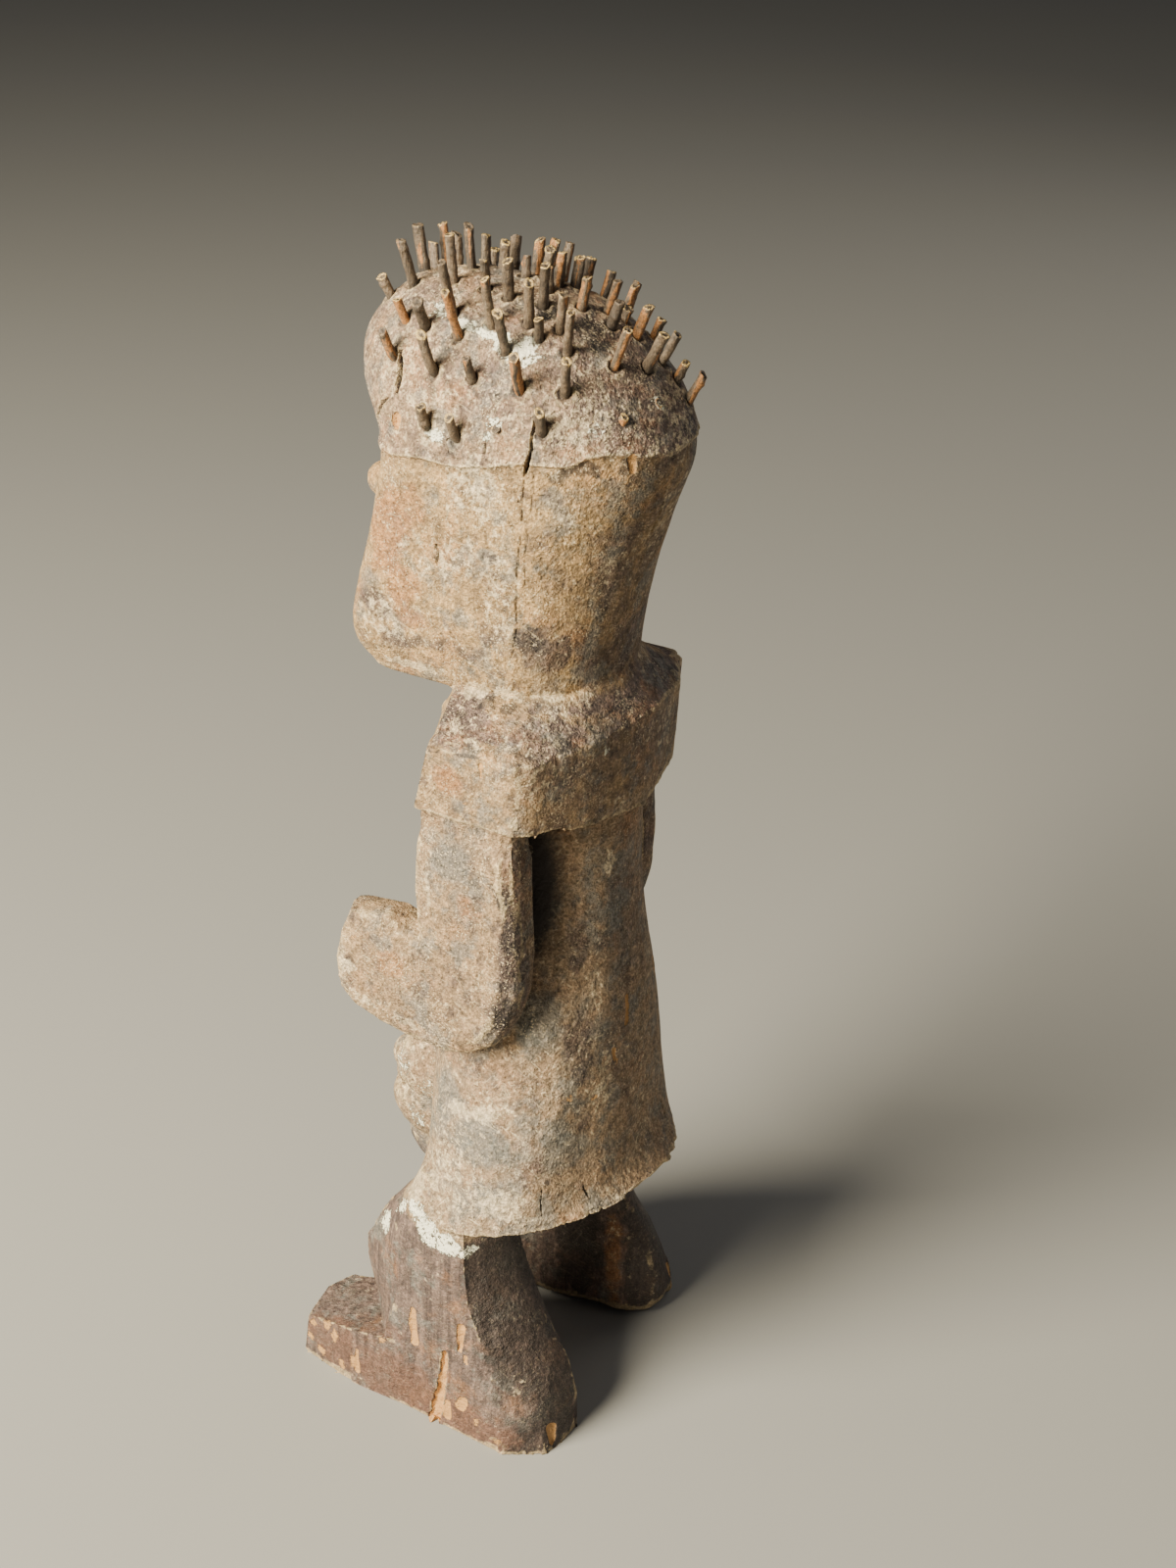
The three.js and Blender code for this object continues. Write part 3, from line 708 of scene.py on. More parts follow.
# Painted patches by layer: place, reach along X, Y and Z, and strength
patches = {
    "chalk": [
        (21, -21.5, 410, 4, 4, 3, 0.75), (24, -18.5, 408, 3, 4, 3, 0.8),
        (25, -11.5, 407, 2.5, 5, 2.5, 0.9), (26, -3.5, 406, 2.5, 5, 2.5, 0.9),
        (27, 3.5, 405, 4, 5, 4, 1.0), (27, 8.5, 403, 5, 5, 5, 1.1), (27, 12.5, 403, 4, 4, 4, 1.0),
        (25, 11.5, 405, 4, 4, 4, 1.0), (20, 12.5, 404, 4, 3, 3, 0.7), (38, -13.5, 375, 4, 4.5, 3.2, 1.0),
        (38, 6.5, 377, 2, 2.5, 2, 0.6), (38, 8.5, 382, 3, 3, 2.6, 0.7), (28, 36.5, 384, 3.4, 3.4, 3, 0.4),
        (6, 46.5, 388, 3, 3, 3, 0.8), (28, 29.5, 391, 2.6, 2.6, 2.4, 0.4), (48, -25.5, 74, 6, 6, 5, 0.9),
        (56, -7.5, 89, 5, 8, 4, 0.9), (58, -1.5, 85, 4, 7, 5, 1.0), (58, 7.5, 84, 4, 7, 4, 1.0),
        (58, 14.5, 82, 4, 4, 3, 0.8), (52, -19.5, 86, 5, 7, 6, 0.7), (12, -41.5, 116, 5, 5, 7, 0.45),
        (15, -34.5, 97, 5, 5, 6, 0.4), (16, -27.5, 114, 5, 5, 7, 0.4), (24, -31.5, 104, 7, 6, 7, 0.35),
        (-50, -15.5, 84, 5, 8, 5, 0.8), (-54, 4.5, 86, 4, 8, 4, 0.7), (-26, 18.5, 402, 5, 7, 4, 0.8),
        (-37, -3.5, 374, 4, 5, 3, 0.8), (-10, -47.5, 100, 6, 6, 8, 0.6),
        (23, 43.5, 277, 1.2, 1.4, 2.0, 1.0),
    ],
    "clay": [
        (37, -32.5, 340, 6, 15, 22, 1.0), (36, -27.5, 322, 6, 12, 12, 0.85),
        (38, -22.5, 350, 6, 10, 9, 0.6), (36, -22.5, 311, 5, 12, 6, 0.6), (55, 3.5, 267, 4, 8, 8, 0.7),
        (56, 12.5, 221, 5, 8, 9, 0.6), (56, -18.5, 191, 6, 10, 8, 0.6), (54, -31.5, 180, 8, 12, 8, 0.4),
        (36, -7.5, 390, 8, 14, 8, 0.4), (-26, 31.5, 34, 5, 6, 34, 0.7), (-24, 30.5, 60, 5, 6, 20, 0.5),
        (-37, -21.5, 330, 6, 14, 14, 0.7), (-55, -1.5, 200, 6, 12, 16, 0.5),
        (-59, -11.5, 14, 6, 24, 12, 0.6), (0, -59.5, 330, 16, 8, 20, 0.3),
        (30, 36.5, 330, 8, 8, 30, 0.25), (10, 46.5, 200, 10, 6, 30, 0.3),
    ],
    "rust": [
        (57, -44.5, 14, 8, 24, 18, 1.1), (60, -15.5, 10, 6, 30, 20, 1.1), (60, 12.5, 8, 6, 28, 16, 1.0),
        (60, 30.5, 6, 8, 18, 10, 0.8), (58, -20.5, 34, 6, 14, 16, 0.5), (-59, -11.5, 14, 6, 36, 16, 0.8),
    ],
    "umber": [
        (54, 27, 208, 4, 5, 24, 1.0), (54, 23, 186, 4, 5, 14, 0.9), (54, 18, 175, 4, 6, 6, 0.8),
        (24, 36, 200, 5, 6, 18, 0.7), (31, 40, 165, 5, 6, 22, 0.7), (30, 44, 138, 5, 6, 16, 0.6),
        (36, -38.5, 312, 6, 10, 10, 0.8), (36, -30.5, 302, 6, 13, 6, 0.75),
        (36, -16.5, 304, 6, 13, 6, 0.65), (35, -3.5, 304, 6, 10, 6, 0.7), (36, 6.5, 314, 6, 9, 8, 0.7),
        (33, 20.5, 311, 6, 9, 10, 1.0), (29, 26.5, 307, 7, 11, 9, 1.0), (37, 7.5, 339, 5, 7, 6, 0.75),
        (-36, -30.5, 306, 6, 16, 12, 0.6), (29, 41.5, 165, 8, 7, 34, 0.65),
        (12, 48.5, 150, 10, 6, 50, 0.45), (44, 30.5, 150, 8, 7, 24, 0.35), (46, 34.5, 118, 9, 8, 16, 0.5),
        (4, 47.5, 190, 10, 6, 30, 0.4), (36, 33.5, 190, 8, 6, 16, 0.4), (55, -33.5, 186, 6, 8, 6, 0.5),
        (56, 10.5, 190, 6, 10, 10, 0.5), (36, -44.5, 300, 6, 8, 8, 0.5), (36, 28.5, 320, 6, 9, 26, 0.45),
        (52, -16.5, 275, 6, 10, 6, 0.5), (50, 2.5, 118, 9, 14, 6, 0.45),
    ],
    "ashAndSheen": [
        (37, 6.5, 339, 4, 7, 6, 0.9), (37, -12.5, 347, 4, 5, 6, 0.5), (35, -40.5, 321, 5, 7, 7, 0.6),
        (55, 7.5, 260, 4, 6, 5, 0.7), (56, 3.5, 237, 6, 12, 12, 0.7), (55, 10.5, 222, 6, 8, 10, 0.4),
        # The blot at (51, 15.5, 127) on the lower trunk is partly a painted blue-grey sheen
        (37, 28.5, 175, 10, 12, 14, 0.7), (51, 15.5, 127, 9, 12, 14, 0.9),
        (48, -3.5, 140, 8, 12, 14, 0.6), (54, -13.5, 110, 8, 10, 12, 0.4),
        (-50, 8.5, 130, 9, 14, 16, 0.7), (-37, 8.5, 345, 5, 10, 10, 0.6), (36, 20.5, 390, 8, 12, 10, 0.3),
        (-56, 2.5, 232, 6, 12, 12, 0.6), (55, -45.5, 205, 6, 6, 6, 0.5),
    ],
    # Dark patches: partly grime, partly painted shade under the cap's lip at the back, at the foot of the
    # neck, along the slab's top arris, on the arms' back faces, behind the arm and between the legs
    "sootAndShade": [
        (34, 18.5, 313, 5, 9, 7, 0.7), (37, 5.5, 289, 6, 5, 3, 0.8), (38, 15.5, 289, 6, 5, 3, 0.8),
        (44, 0.5, 286, 6, 6, 3, 0.7), (50, -5.5, 280, 6, 6, 3, 0.6), (52, 14.5, 281, 4, 8, 2.5, 0.5),
        (35, 29.5, 370, 6, 8, 4, 0.8), (31, 36.5, 372, 6, 8, 4, 0.8), (23, 46.5, 373, 6, 6, 4, 0.8),
        (35, 18.5, 372, 4, 5, 2.4, 0.5), (55, 24.5, 232, 5, 6, 10, 0.7), (54, 27.5, 215, 5, 6, 14, 0.8),
        (55, 25.5, 187, 5, 8, 16, 0.7), (13, 11.5, 412, 10, 10, 5, 0.6), (12, 19.5, 410, 10, 10, 5, 0.6),
        (10, 26.5, 406, 10, 10, 6, 0.7), (57, 22.5, 62, 4, 7, 20, 0.9), (56, 28.5, 45, 5, 8, 22, 0.5),
        (-15, 8.5, 72, 16, 16, 22, 1.0), (-24, 16.5, 35, 12, 15, 40, 1.0),
        (-32, 45.5, 30, 14, 12, 60, 0.85), (20, 18.5, 60, 10, 30, 40, 0.8), (0, 8.5, 95, 30, 40, 12, 0.8),
        (51, 29.5, 281, 5, 7, 2.5, 0.7), (40, 35.5, 282, 7, 6, 2.5, 0.7), (28, 39.5, 284, 7, 5, 2.5, 0.6),
        (9, 43.5, 285, 7, 5, 2.5, 0.6), (30, 18.5, 215, 12, 14, 46, 1.0), (-34, 18.5, 372, 6, 12, 4, 0.6),
        (-50, 18.5, 281, 8, 16, 3, 0.6), (-55, 24.5, 205, 5, 8, 22, 0.7),
    ],
    "dustAndPaintedLight": [
        (22, 46, 146, 7, 6, 16, 0.5), (20, 44, 185, 5, 6, 14, 0.35), (49, 1.5, 283, 7, 5, 2.5, 0.6),
        (42, 25.5, 287, 7, 5, 3, 0.4), (35, -0.5, 291, 4, 8, 3.5, 0.8), (33, 12.5, 292, 4, 8, 3.5, 0.8),
        (29, 24.5, 292, 5, 9, 3.5, 0.5), (21, 34.5, 292, 8, 6, 3.5, 0.4), (52, 10.5, 281, 4, 8, 2, 0.6),
        (56, -4.5, 245, 4, 3, 14, 0.9), (56, -5.5, 225, 4, 3, 14, 0.8), (10, 40.5, 228, 3, 4, 10, 0.8),
        (14, 44.5, 250, 4, 4, 10, 0.5), (48, 3.5, 136, 6, 8, 4, 0.6), (49, 14.5, 138, 6, 8, 3, 0.6),
        (40, -21.5, 118, 10, 10, 16, 0.7), (50, -13.5, 96, 8, 14, 10, 0.6),
        (54, 28.5, 106, 8, 14, 8, 0.5), (38, 0.5, 360, 4, 14, 16, 0.4), (36, 10.5, 330, 5, 8, 40, 0.28),
        (37, -35.5, 308, 8, 14, 14, 0.3), (55, 36.5, 33, 5, 5, 20, 0.4), (-26, 30.5, 50, 4, 5, 20, 0.4),
        (56, -28.5, 173, 6, 10, 4, 0.8), (56, -12.5, 169, 6, 10, 3, 0.8), (56, -37.5, 184, 6, 6, 5, 0.8),
        (52, -13.5, 180, 6, 8, 5, 0.4), (-52, -1.5, 282, 6, 10, 2.5, 0.8),
        (-56, -4.5, 235, 4, 4, 20, 0.8), (34, -25.5, 293, 4, 18, 2.2, 0.7),
        (-34, -25.5, 293, 4, 18, 2.2, 0.6), (20, -55.5, 296, 20, 6, 4, 0.4),
    ],
    "worn": [
        (54, -55.5, 15, 3, 3, 4, 0.8), (56, -47.5, 20, 3, 4, 3, 0.7), (57, -42.5, 17, 3, 3, 4, 0.8),
        (58, -33.5, 10, 3, 3, 6, 0.7), (57, -39.5, 5, 3, 4, 3, 0.8), (55, -50.5, 4, 4, 4, 3, 0.9),
        (54, -55.5, 8, 3, 3, 5, 0.7), (60, 23.5, 9, 3, 5, 4, 0.6), (61, 31.5, 5, 3, 4, 3, 0.6),
        (60, 15.5, 14, 3, 3.4, 4, 0.9), (60, 9.5, 8, 3, 3, 5, 0.9), (35, 6.5, 308, 3, 9, 1.0, 0.7),
        (35, 7.5, 310, 3, 7, 0.9, 0.6), (25, 45.5, 142, 2.4, 2.4, 2.4, 0.7),
        (35, 39.5, 146, 2.4, 2.4, 2.0, 0.7), (14, 48.5, 152, 2, 2, 3, 0.7),
        (55, -34.5, 195, 2.5, 2.5, 2.5, 0.6), (-54, -53.5, 10, 5, 6, 8, 0.6),
        (-58, -37.5, 8, 4, 8, 5, 0.6), (58, -21.5, 26, 3, 3, 3, 0.5), (55, 10.5, 262, 3, 2, 2, 0.5),
    ],
}


def capHeight(points):  # how far above the cap's lip each point stands
    waver = layeredNoise(points, 9, 31, 3) * 0.9
    return points[:, 2] - np.interp(points[:, 1], capEdge["along"], capEdge["height"]) + waver


def nearPath(points, path, reach):  # the points within reach, with their distance and share along the path
    corners = np.array(path, float)
    low, high = corners.min(0) - reach, corners.max(0) + reach
    near = np.flatnonzero(((points > low) & (points < high)).all(1))
    distance, along = distanceToPath(points[near], path)
    inside = distance < reach
    return near[inside], distance[inside], along[inside]


def nearMark(points, path, reach):  # the same, once each corner is moved to the nearest point of the skin
    onSkin = [points[np.abs(points - np.array(corner)).sum(1).argmin()] for corner in path]
    return nearPath(points, onSkin, reach)


def splitEdges(mesh, wanted, cuts):  # smaller faces wherever every corner is wanted
    _, _, edges = meshArrays(mesh)
    chosen = np.flatnonzero(wanted[edges[:, 0]] & wanted[edges[:, 1]])
    built = bmesh.new()
    built.from_mesh(mesh)
    built.edges.ensure_lookup_table()
    bmesh.ops.subdivide_edges(built, edges=[built.edges[i] for i in chosen], cuts=cuts, use_grid_fill=True)
    bmesh.ops.triangulate(built, faces=[f for f in built.faces if len(f.verts) > 4])
    built.to_mesh(mesh)
    built.free()
    mesh.update()


def refine(mesh):  # smaller faces at the arrises, the cap's lip, the marks and the foot of each stick
    points, normals, edges = meshArrays(mesh)
    wanted = (points[:, 0] > fineFaces["side"]) & (points[:, 2] > fineFaces["foot"])
    wanted &= normals[:, 2] > fineFaces["down"]
    wanted &= creaseShare(normals, edges) > figureSkin["crease"]
    for root, direction, _ in sticks.values():
        foot = root + direction * stickSeat
        wanted[nearPath(points, [foot, foot + 0.01], fineFaces["stickReach"])[0]] = True
    splitEdges(mesh, wanted, 1)
    points, _, _ = meshArrays(mesh)
    wanted = (np.abs(capHeight(points)) < fineFaces["lipReach"]) & (points[:, 2] > fineFaces["lipFoot"])
    wanted &= points[:, 0] > fineFaces["side"]
    for path, width, _ in cracks:
        wanted[nearMark(points, path, width + fineFaces["margin"])[0]] = True
    for path, widths, _ in chips:
        wanted[nearMark(points, path, max(widths) + fineFaces["margin"])[0]] = True
    splitEdges(mesh, wanted, 2)


def wandered(points, size, seeds, layers, reach):  # the points moved softly to and fro, up to this reach
    return points + reach * np.stack([layeredNoise(points, size, seed, layers) for seed in seeds], 1)


def scoopDepth(points, seed):  # shallow adze scoops, each lowest in its middle, that meet along soft ridges
    stretch = np.array([1, 1, figureSkin["facetStretch"]])
    chosen = np.random.default_rng(seed).choice(len(points), figureSkin["facetCount"], replace=False)
    picks = points[chosen] * stretch
    warped = wandered(points, 14, range(seed, seed + 3), 2, 2.0) * stretch
    nearest = np.empty(len(points))
    for rows in np.array_split(np.arange(len(points)), 60):  # in parts, to spare the memory
        nearest[rows] = squaredGaps(warped[rows], picks).min(1)
    return np.clip(np.sqrt(np.maximum(nearest, 0)) / figureSkin["facetSpacing"], 0, 1.3) ** 2


def over(name, points):  # 0 below a level of the body, 1 above it
    return smoothStep(*levels[name], points[:, 2])


def regions(points, normals):  # soft shares of the parts of the body that wear in their own way
    hem, slabFoot = over("hem", points), over("slabFoot", points)
    cap = smoothStep(-0.5, 1.0, capHeight(points)) * over("brow", points)
    outside = smoothStep(*figureSkin["armInside"], np.abs(points[:, 0]))
    arm = outside * over("elbow", points) * (1 - slabFoot)
    slab = slabFoot * (1 - over("slabTop", points))
    return SimpleNamespace(
        cap=cap,
        head=over("neck", points) * (1 - cap),
        slab=slab,
        slabTop=slab * smoothStep(0.5, 0.8, normals[:, 2]),
        arm=arm,
        trunk=hem * (1 - slabFoot) * (1 - arm),
        leg=1 - hem,
        knob=blot(points, (5, -40, 112), (16, 16, 26)),
        rough=blot(points, (55, 30, 205), (12, 15, 48)) + blot(points, (57, 26, 55), (9, 10, 38)),
        hacked=blot(points, (-15, 12, 74), (16, 22, 20)),
    )


def carve(points, part):  # how far each point moves along its normal, by wear and by cuts, and the marks
    height = layeredNoise(points, 26, 3, 2) * 0.4 + layeredNoise(points, 7, 8, 2) * 0.1
    for path, reach, rise in arrises:
        near, distance, _ = nearMark(points, path, reach)
        slope = 1 - distance / reach
        height[near] += rise * slope * (0.6 + 0.4 * slope)
    share = 0.4 * part.trunk + 0.5 * part.leg + 0.3 * part.arm + 0.16 * part.head + 0.2 * part.slab
    height += scoopDepth(points, 12) * (share + 0.15 * part.cap) - 0.3 * share
    above = capHeight(points)
    onHead = over("crown", points)
    height += onHead * (smoothStep(-0.35, 0.45, above) * capEdge["rise"] + 0.35 * bell(above, 0.8, 0.9))
    grain = layeredNoise(points, 3.4, 21, 2)
    ridged = 1 - np.abs(layeredNoise(points, 5.0, 27, 3)) * 2.4
    height += grain * (0.10 + 0.20 * part.cap + 0.30 * part.knob + 0.28 * part.rough + 0.16 * part.slabTop)
    height += ridged * (0.28 * np.clip(part.rough, 0, 1) + 0.10 * part.leg)
    flakes = smoothStep(-0.05, 0.12, layeredNoise(points, 9, 44, 3))
    height += (flakes - 0.5) * 0.4 * part.slabTop
    height += layeredNoise(points, 7, 61, 2) * 1.3 * part.knob
    height += (np.abs(layeredNoise(points, 13, 71, 3)) * -6.0 + 0.8) * part.hacked
    height -= 0.5 * part.hacked * (1 - np.abs(layeredNoise(points, 4, 75, 2)))
    underSlab = part.arm * over("shoulder", points) * (1 - over("slabArris", points))
    cut = -1.2 * underSlab
    crack, worn, ring = np.zeros((3, len(points)))
    for k, (path, width, depth) in enumerate(cracks):
        near, distance, along = nearMark(points, path, width + 3)
        wander = layeredNoise(points[near], 4, 90 + k, 2) * 0.4
        taper = np.clip(np.minimum(along, 1 - along) * 5, 0.55, 1)
        half = width * taper * (0.8 + 0.5 * layeredNoise(points[near], 5, 120 + k, 2))
        gape = 1 - smoothStep(0.1, 1.0, np.abs(distance + wander) / np.maximum(half, 0.15))
        cut[near] -= gape * depth
        crack[near] = np.maximum(crack[near], smoothStep(0.25, 0.9, gape) * min(1, 0.35 + depth / 2))
    for k, (path, widths, depth) in enumerate(chips):
        near, distance, along = nearMark(points, path, max(widths) + 2)
        half = np.interp(along, [0, 1], widths) * (1 + 0.35 * layeredNoise(points[near], 4, 150 + k, 2))
        dent = 1 - smoothStep(0.55, 1.05, distance / half)
        cut[near] -= dent * depth * (0.7 + 0.3 * layeredNoise(points[near], 2.5, 170 + k, 2))
        worn[near] = np.maximum(worn[near], smoothStep(0.1, 0.6, dent))
    for place, reach, depth in cavities:
        cut -= blot(points, place, reach) * depth
    for root, direction, _ in sticks.values():  # a ring of crust and a dark gap around each stick's foot
        ends = [root + direction * (stickSeat - 4), root + direction * (stickSeat + 5)]
        near, distance, _ = nearPath(points, ends, 5.5)
        height[near] += 0.45 * bell(distance, 3.0, 1.0) - 0.6 * (1 - smoothStep(1.8, 2.3, distance))
        # The ring is painted shade in the groove around the stick's foot
        ring[near] = np.maximum(ring[near], 1 - smoothStep(1.6, 2.6, distance))
    marks = SimpleNamespace(crack=crack, worn=worn, ring=ring, flakes=flakes)
    marks.lip = onHead * bell(above, 0.5, 0.8)
    # just below the cap's lip, where its shadow is painted
    marks.under = onHead * bell(above, -0.9, 0.8)
    return height, cut, marks


def paintLayers(mesh, part, marks):  # the shares of each colour, kept on the mesh's points
    points, normals, edges = meshArrays(mesh)

    def clouds(size, seed, low, high):
        return smoothStep(low, high, layeredNoise(points, size, seed, 2))

    lengths = np.repeat(np.linalg.norm(points[edges[:, 0]] - points[edges[:, 1]], axis=1), 2)
    spacing = np.bincount(edges.ravel(), weights=lengths) / np.bincount(edges.ravel())
    smooth = relax(points, edges, 5, (0.8,))
    bulge = ((points - smooth) * normals).sum(1) * (1 - smoothStep(1.9, 2.8, spacing))
    recess = smoothStep(0.10, 0.50, -bulge)
    spotPoints = wandered(points, 9, range(240, 249, 3), 3, 3.2)
    paint = {}
    for name, spots in patches.items():
        paint[name] = np.zeros(len(points))
        spread = 1.3 if name == "chalk" else 1.0
        for *place, reachX, reachY, reachZ, strength in spots:
            reach = np.array([reachX, reachY, reachZ]) * spread
            paint[name] = np.maximum(paint[name], blot(spotPoints, place, reach) * strength)
    # Faces turned towards the back, away from the key light, which are painted darker as painted shade
    backward = smoothStep(0.1, 0.8, normals[:, 1])
    fair = blot(points, (54, -4, 108), (20, 36, 34)) + blot(points, (54, -46, 190), (20, 26, 30))
    tone = 0.10 * part.head + 0.46 * part.cap + 0.2 * part.slab + 0.24 * part.arm
    # Painted light: the trunk below the waist is painted lighter
    lower = part.trunk * (0.16 - 0.22 * (1 - over("waist", points))) + 1.25 * part.leg
    # Faces turned towards the back are painted darker, as painted shade
    tone += lower + 0.3 * layeredNoise(points, 30, 201, 3) + backward * (0.38 - 0.2 * part.trunk)
    bare = part.slabTop * (0.15 + 0.6 * (1 - marks.flakes))
    paint["tone"] = tone + 0.25 * part.rough + bare - 0.25 * fair
    paint["rose"] = 0.55 * part.cap + 0.35 * part.arm + 0.2 * part.slab + 0.4 * part.trunk
    # The trunk is greyed partly as a painted blue-grey sheen; the arms are greyed too
    paint["ashAndSheen"] += 0.4 * part.trunk + 0.2 * part.arm
    paint["clay"] += 0.35 * clouds(24, 211, 0.2, 0.6)
    paint["ashAndSheen"] += 0.35 * clouds(21, 221, 0.2, 0.6)
    nape = smoothStep(24, 34, points[:, 1])
    # Painted shade in recesses and just below the cap's lip at the back, and darker paint over the hacked
    # patch between the legs
    paint["sootAndShade"] += 0.3 * recess + 0.3 * marks.under * nape + 0.8 * part.hacked
    # Painted shade on the insides of the arms, where they face the trunk, and on the legs' back faces
    inner = smoothStep(0.2, 0.6, -normals[:, 0] * np.sign(points[:, 0])) * over("elbowInside", points)
    paint["sootAndShade"] += 0.9 * inner * (1 - over("armpit", points)) + 0.75 * backward * part.leg
    paint["dustAndPaintedLight"] += 0.22 * recess + 0.25 * part.knob + 0.12 * part.cap + 0.25 * marks.lip
    paint["dustAndPaintedLight"] += 0.16 + 0.2 * clouds(16, 231, 0.1, 0.5) + 0.15 * fair
    # The trunk's back faces get less pale paint, painted shade there
    paint["dustAndPaintedLight"] *= 1 - 0.3 * part.slabTop - 0.6 * part.leg - 0.3 * part.arm - 0.3 * part.trunk * backward
    # Painted light: pale paint on the trunk below the chest
    paint["dustAndPaintedLight"] += 0.06 * part.trunk * (1 - over("chest", points))
    paint["worn"] = np.maximum(paint["worn"], marks.worn * 1.2)
    armBack = blot(points, (54, 25, 198), (6, 7, 38))
    # Painted highlight along convex edges, weaker on the arm's back
    paint["edge"] = smoothStep(0.10, 0.45, bulge) * (1 - 0.9 * armBack)
    for path, width, layer in lines:
        near, distance, _ = nearMark(points, path, width * 2)
        broken = 0.75 + 0.5 * layeredNoise(points[near], 6, 250, 2)
        share = (1 - smoothStep(0.3, 1.0, distance / (width * broken))) * 0.9
        paint[layer][near] = np.maximum(paint[layer][near], share)
        if layer != "edge":
            paint["edge"][near] *= 1 - share
    # Painted shade in the gap beside the arm, in the groove around each stick's foot and just below the
    # cap's lip
    besideArm = blot(points, (29, 22, 222), (11, 12, 40))
    paint["hollow"] = 0.7 * marks.ring + 0.15 * marks.under + besideArm
    # Flecks: partly dirt, partly painted glints
    paint["fleck"] = 0.75 + 0.35 * part.arm + 0.25 * fair - 0.6 * part.leg
    # Fewest flecks on the trunk's back faces, painted shade there
    paint["fleck"] -= part.trunk * (0.2 + 0.35 * backward)
    paint["scratch"] = 0.3 + 0.7 * np.clip(fair, 0, 1) + 0.2 * part.trunk - 0.2 * part.leg
    paint["crack"] = marks.crack
    paint["rough"] = 0.35 + 0.5 * part.rough + 0.45 * part.cap + 0.35 * part.slabTop + 0.3 * part.knob
    worked = 0.3 * part.head + 0.4 * part.arm + 0.25 * part.slab + 0.35 * part.trunk
    hip = blot(points, (50, 0, 125), (20, 50, 40))
    paint["rough"] += worked - 0.2 * hip
    for name, values in paint.items():
        putAttribute(mesh, name, values)


def buildFigure():
    mesh = skinMesh()
    points, normals, edges = meshArrays(mesh)
    crease = creaseShare(normals, edges)
    hiddenLeg = blot(points, (-40, 20, 20), (34, 44, 70))
    calm = np.maximum(1 - smoothStep(0.008, 0.024, neighbourMean(crease, edges)[:, 0]), hiddenLeg)
    points = relax(points, edges, figureSkin["calmRounds"], (0.5, -0.53))
    points = relax(points, edges, figureSkin["broadRounds"], (0.5,), calm[:, None])
    putPlaces(mesh, points)
    points, normals, _ = meshArrays(mesh)
    part = regions(points, normals)
    height, cut, marks = carve(points, part)
    height *= 0.25 + 0.75 * calm
    points = points + normals * (height + cut)[:, None]
    points[:, 2] = np.maximum(points[:, 2], 0)
    putPlaces(mesh, points)
    paintLayers(mesh, part, marks)
    shadeSmooth(mesh)
    mesh.set_sharp_from_angle(angle=figureSkin["sharpAngle"])
    mesh.calc_loop_triangles()
    print("figure skin", len(mesh.loop_triangles), "triangles")
    return mesh


figure = addObject("carvedFigure", buildFigure(), carvedWoodFinish)
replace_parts(figure, "figure")


# Sticks: cut lengths of twig with bark partly gone and frayed ends

stickShape = {
    "radius": 1.62,
    "rings": 34,
    "sides": 16,
    "bend": 0.5,
    "upturn": 0.3,  # how far the sticks low on the side curve up, as a share of the length that shows
    "fray": 0.35,  # how far a frayed end stands out on one side
    "knot": 0.4,
    "peel": 0.13,  # how thick the bark is where it has peeled away
    "capRings": (0.72, 0.36),
}

# Broken stubs flush in their holes: foot, direction and the length that shows
stubs = [
    ((38, 8.5, 382), (0.8, 0.1, 0.6), 1.2), ((38, 11.5, 378), (0.9, 0.1, 0.4), 0.8),
    ((28, 36.5, 384), (0.6, 0.6, 0.5), 1.4), ((28, 37.5, 381), (0.6, 0.7, 0.4), 0.8),
    ((21, 42.5, 385), (0.3, 0.5, 0.8), 3.0), ((6, 46.5, 388), (0.1, 0.8, 0.6), 1.3),
    ((28, 29.5, 391), (0.6, 0.5, 0.6), 1.0), ((-36, 16.5, 384), (-0.8, 0.2, 0.6), 1.2),
    ((-37, -7.5, 379), (-0.9, 0, 0.4), 1.0), ((-24, 38.5, 386), (-0.5, 0.7, 0.5), 1.3),
]
stubSeat = 4  # how deep each stub stands in its hole


def twigFaces(loops, sides):  # quads between the loops, a fan at the tip and one face at the root
    first = np.arange((loops - 1) * sides)
    level, turn = first // sides, first % sides
    beside = level * sides + (turn + 1) % sides
    quads = np.stack([first, beside, beside + sides, first + sides], 1)
    fan = np.arange(sides)
    lastRing, tip = (loops - 1) * sides, loops * sides
    caps = np.stack([lastRing + fan, lastRing + (fan + 1) % sides, np.full(sides, tip)], 1)
    return quads.tolist() + caps.tolist() + [list(range(sides))[::-1]]


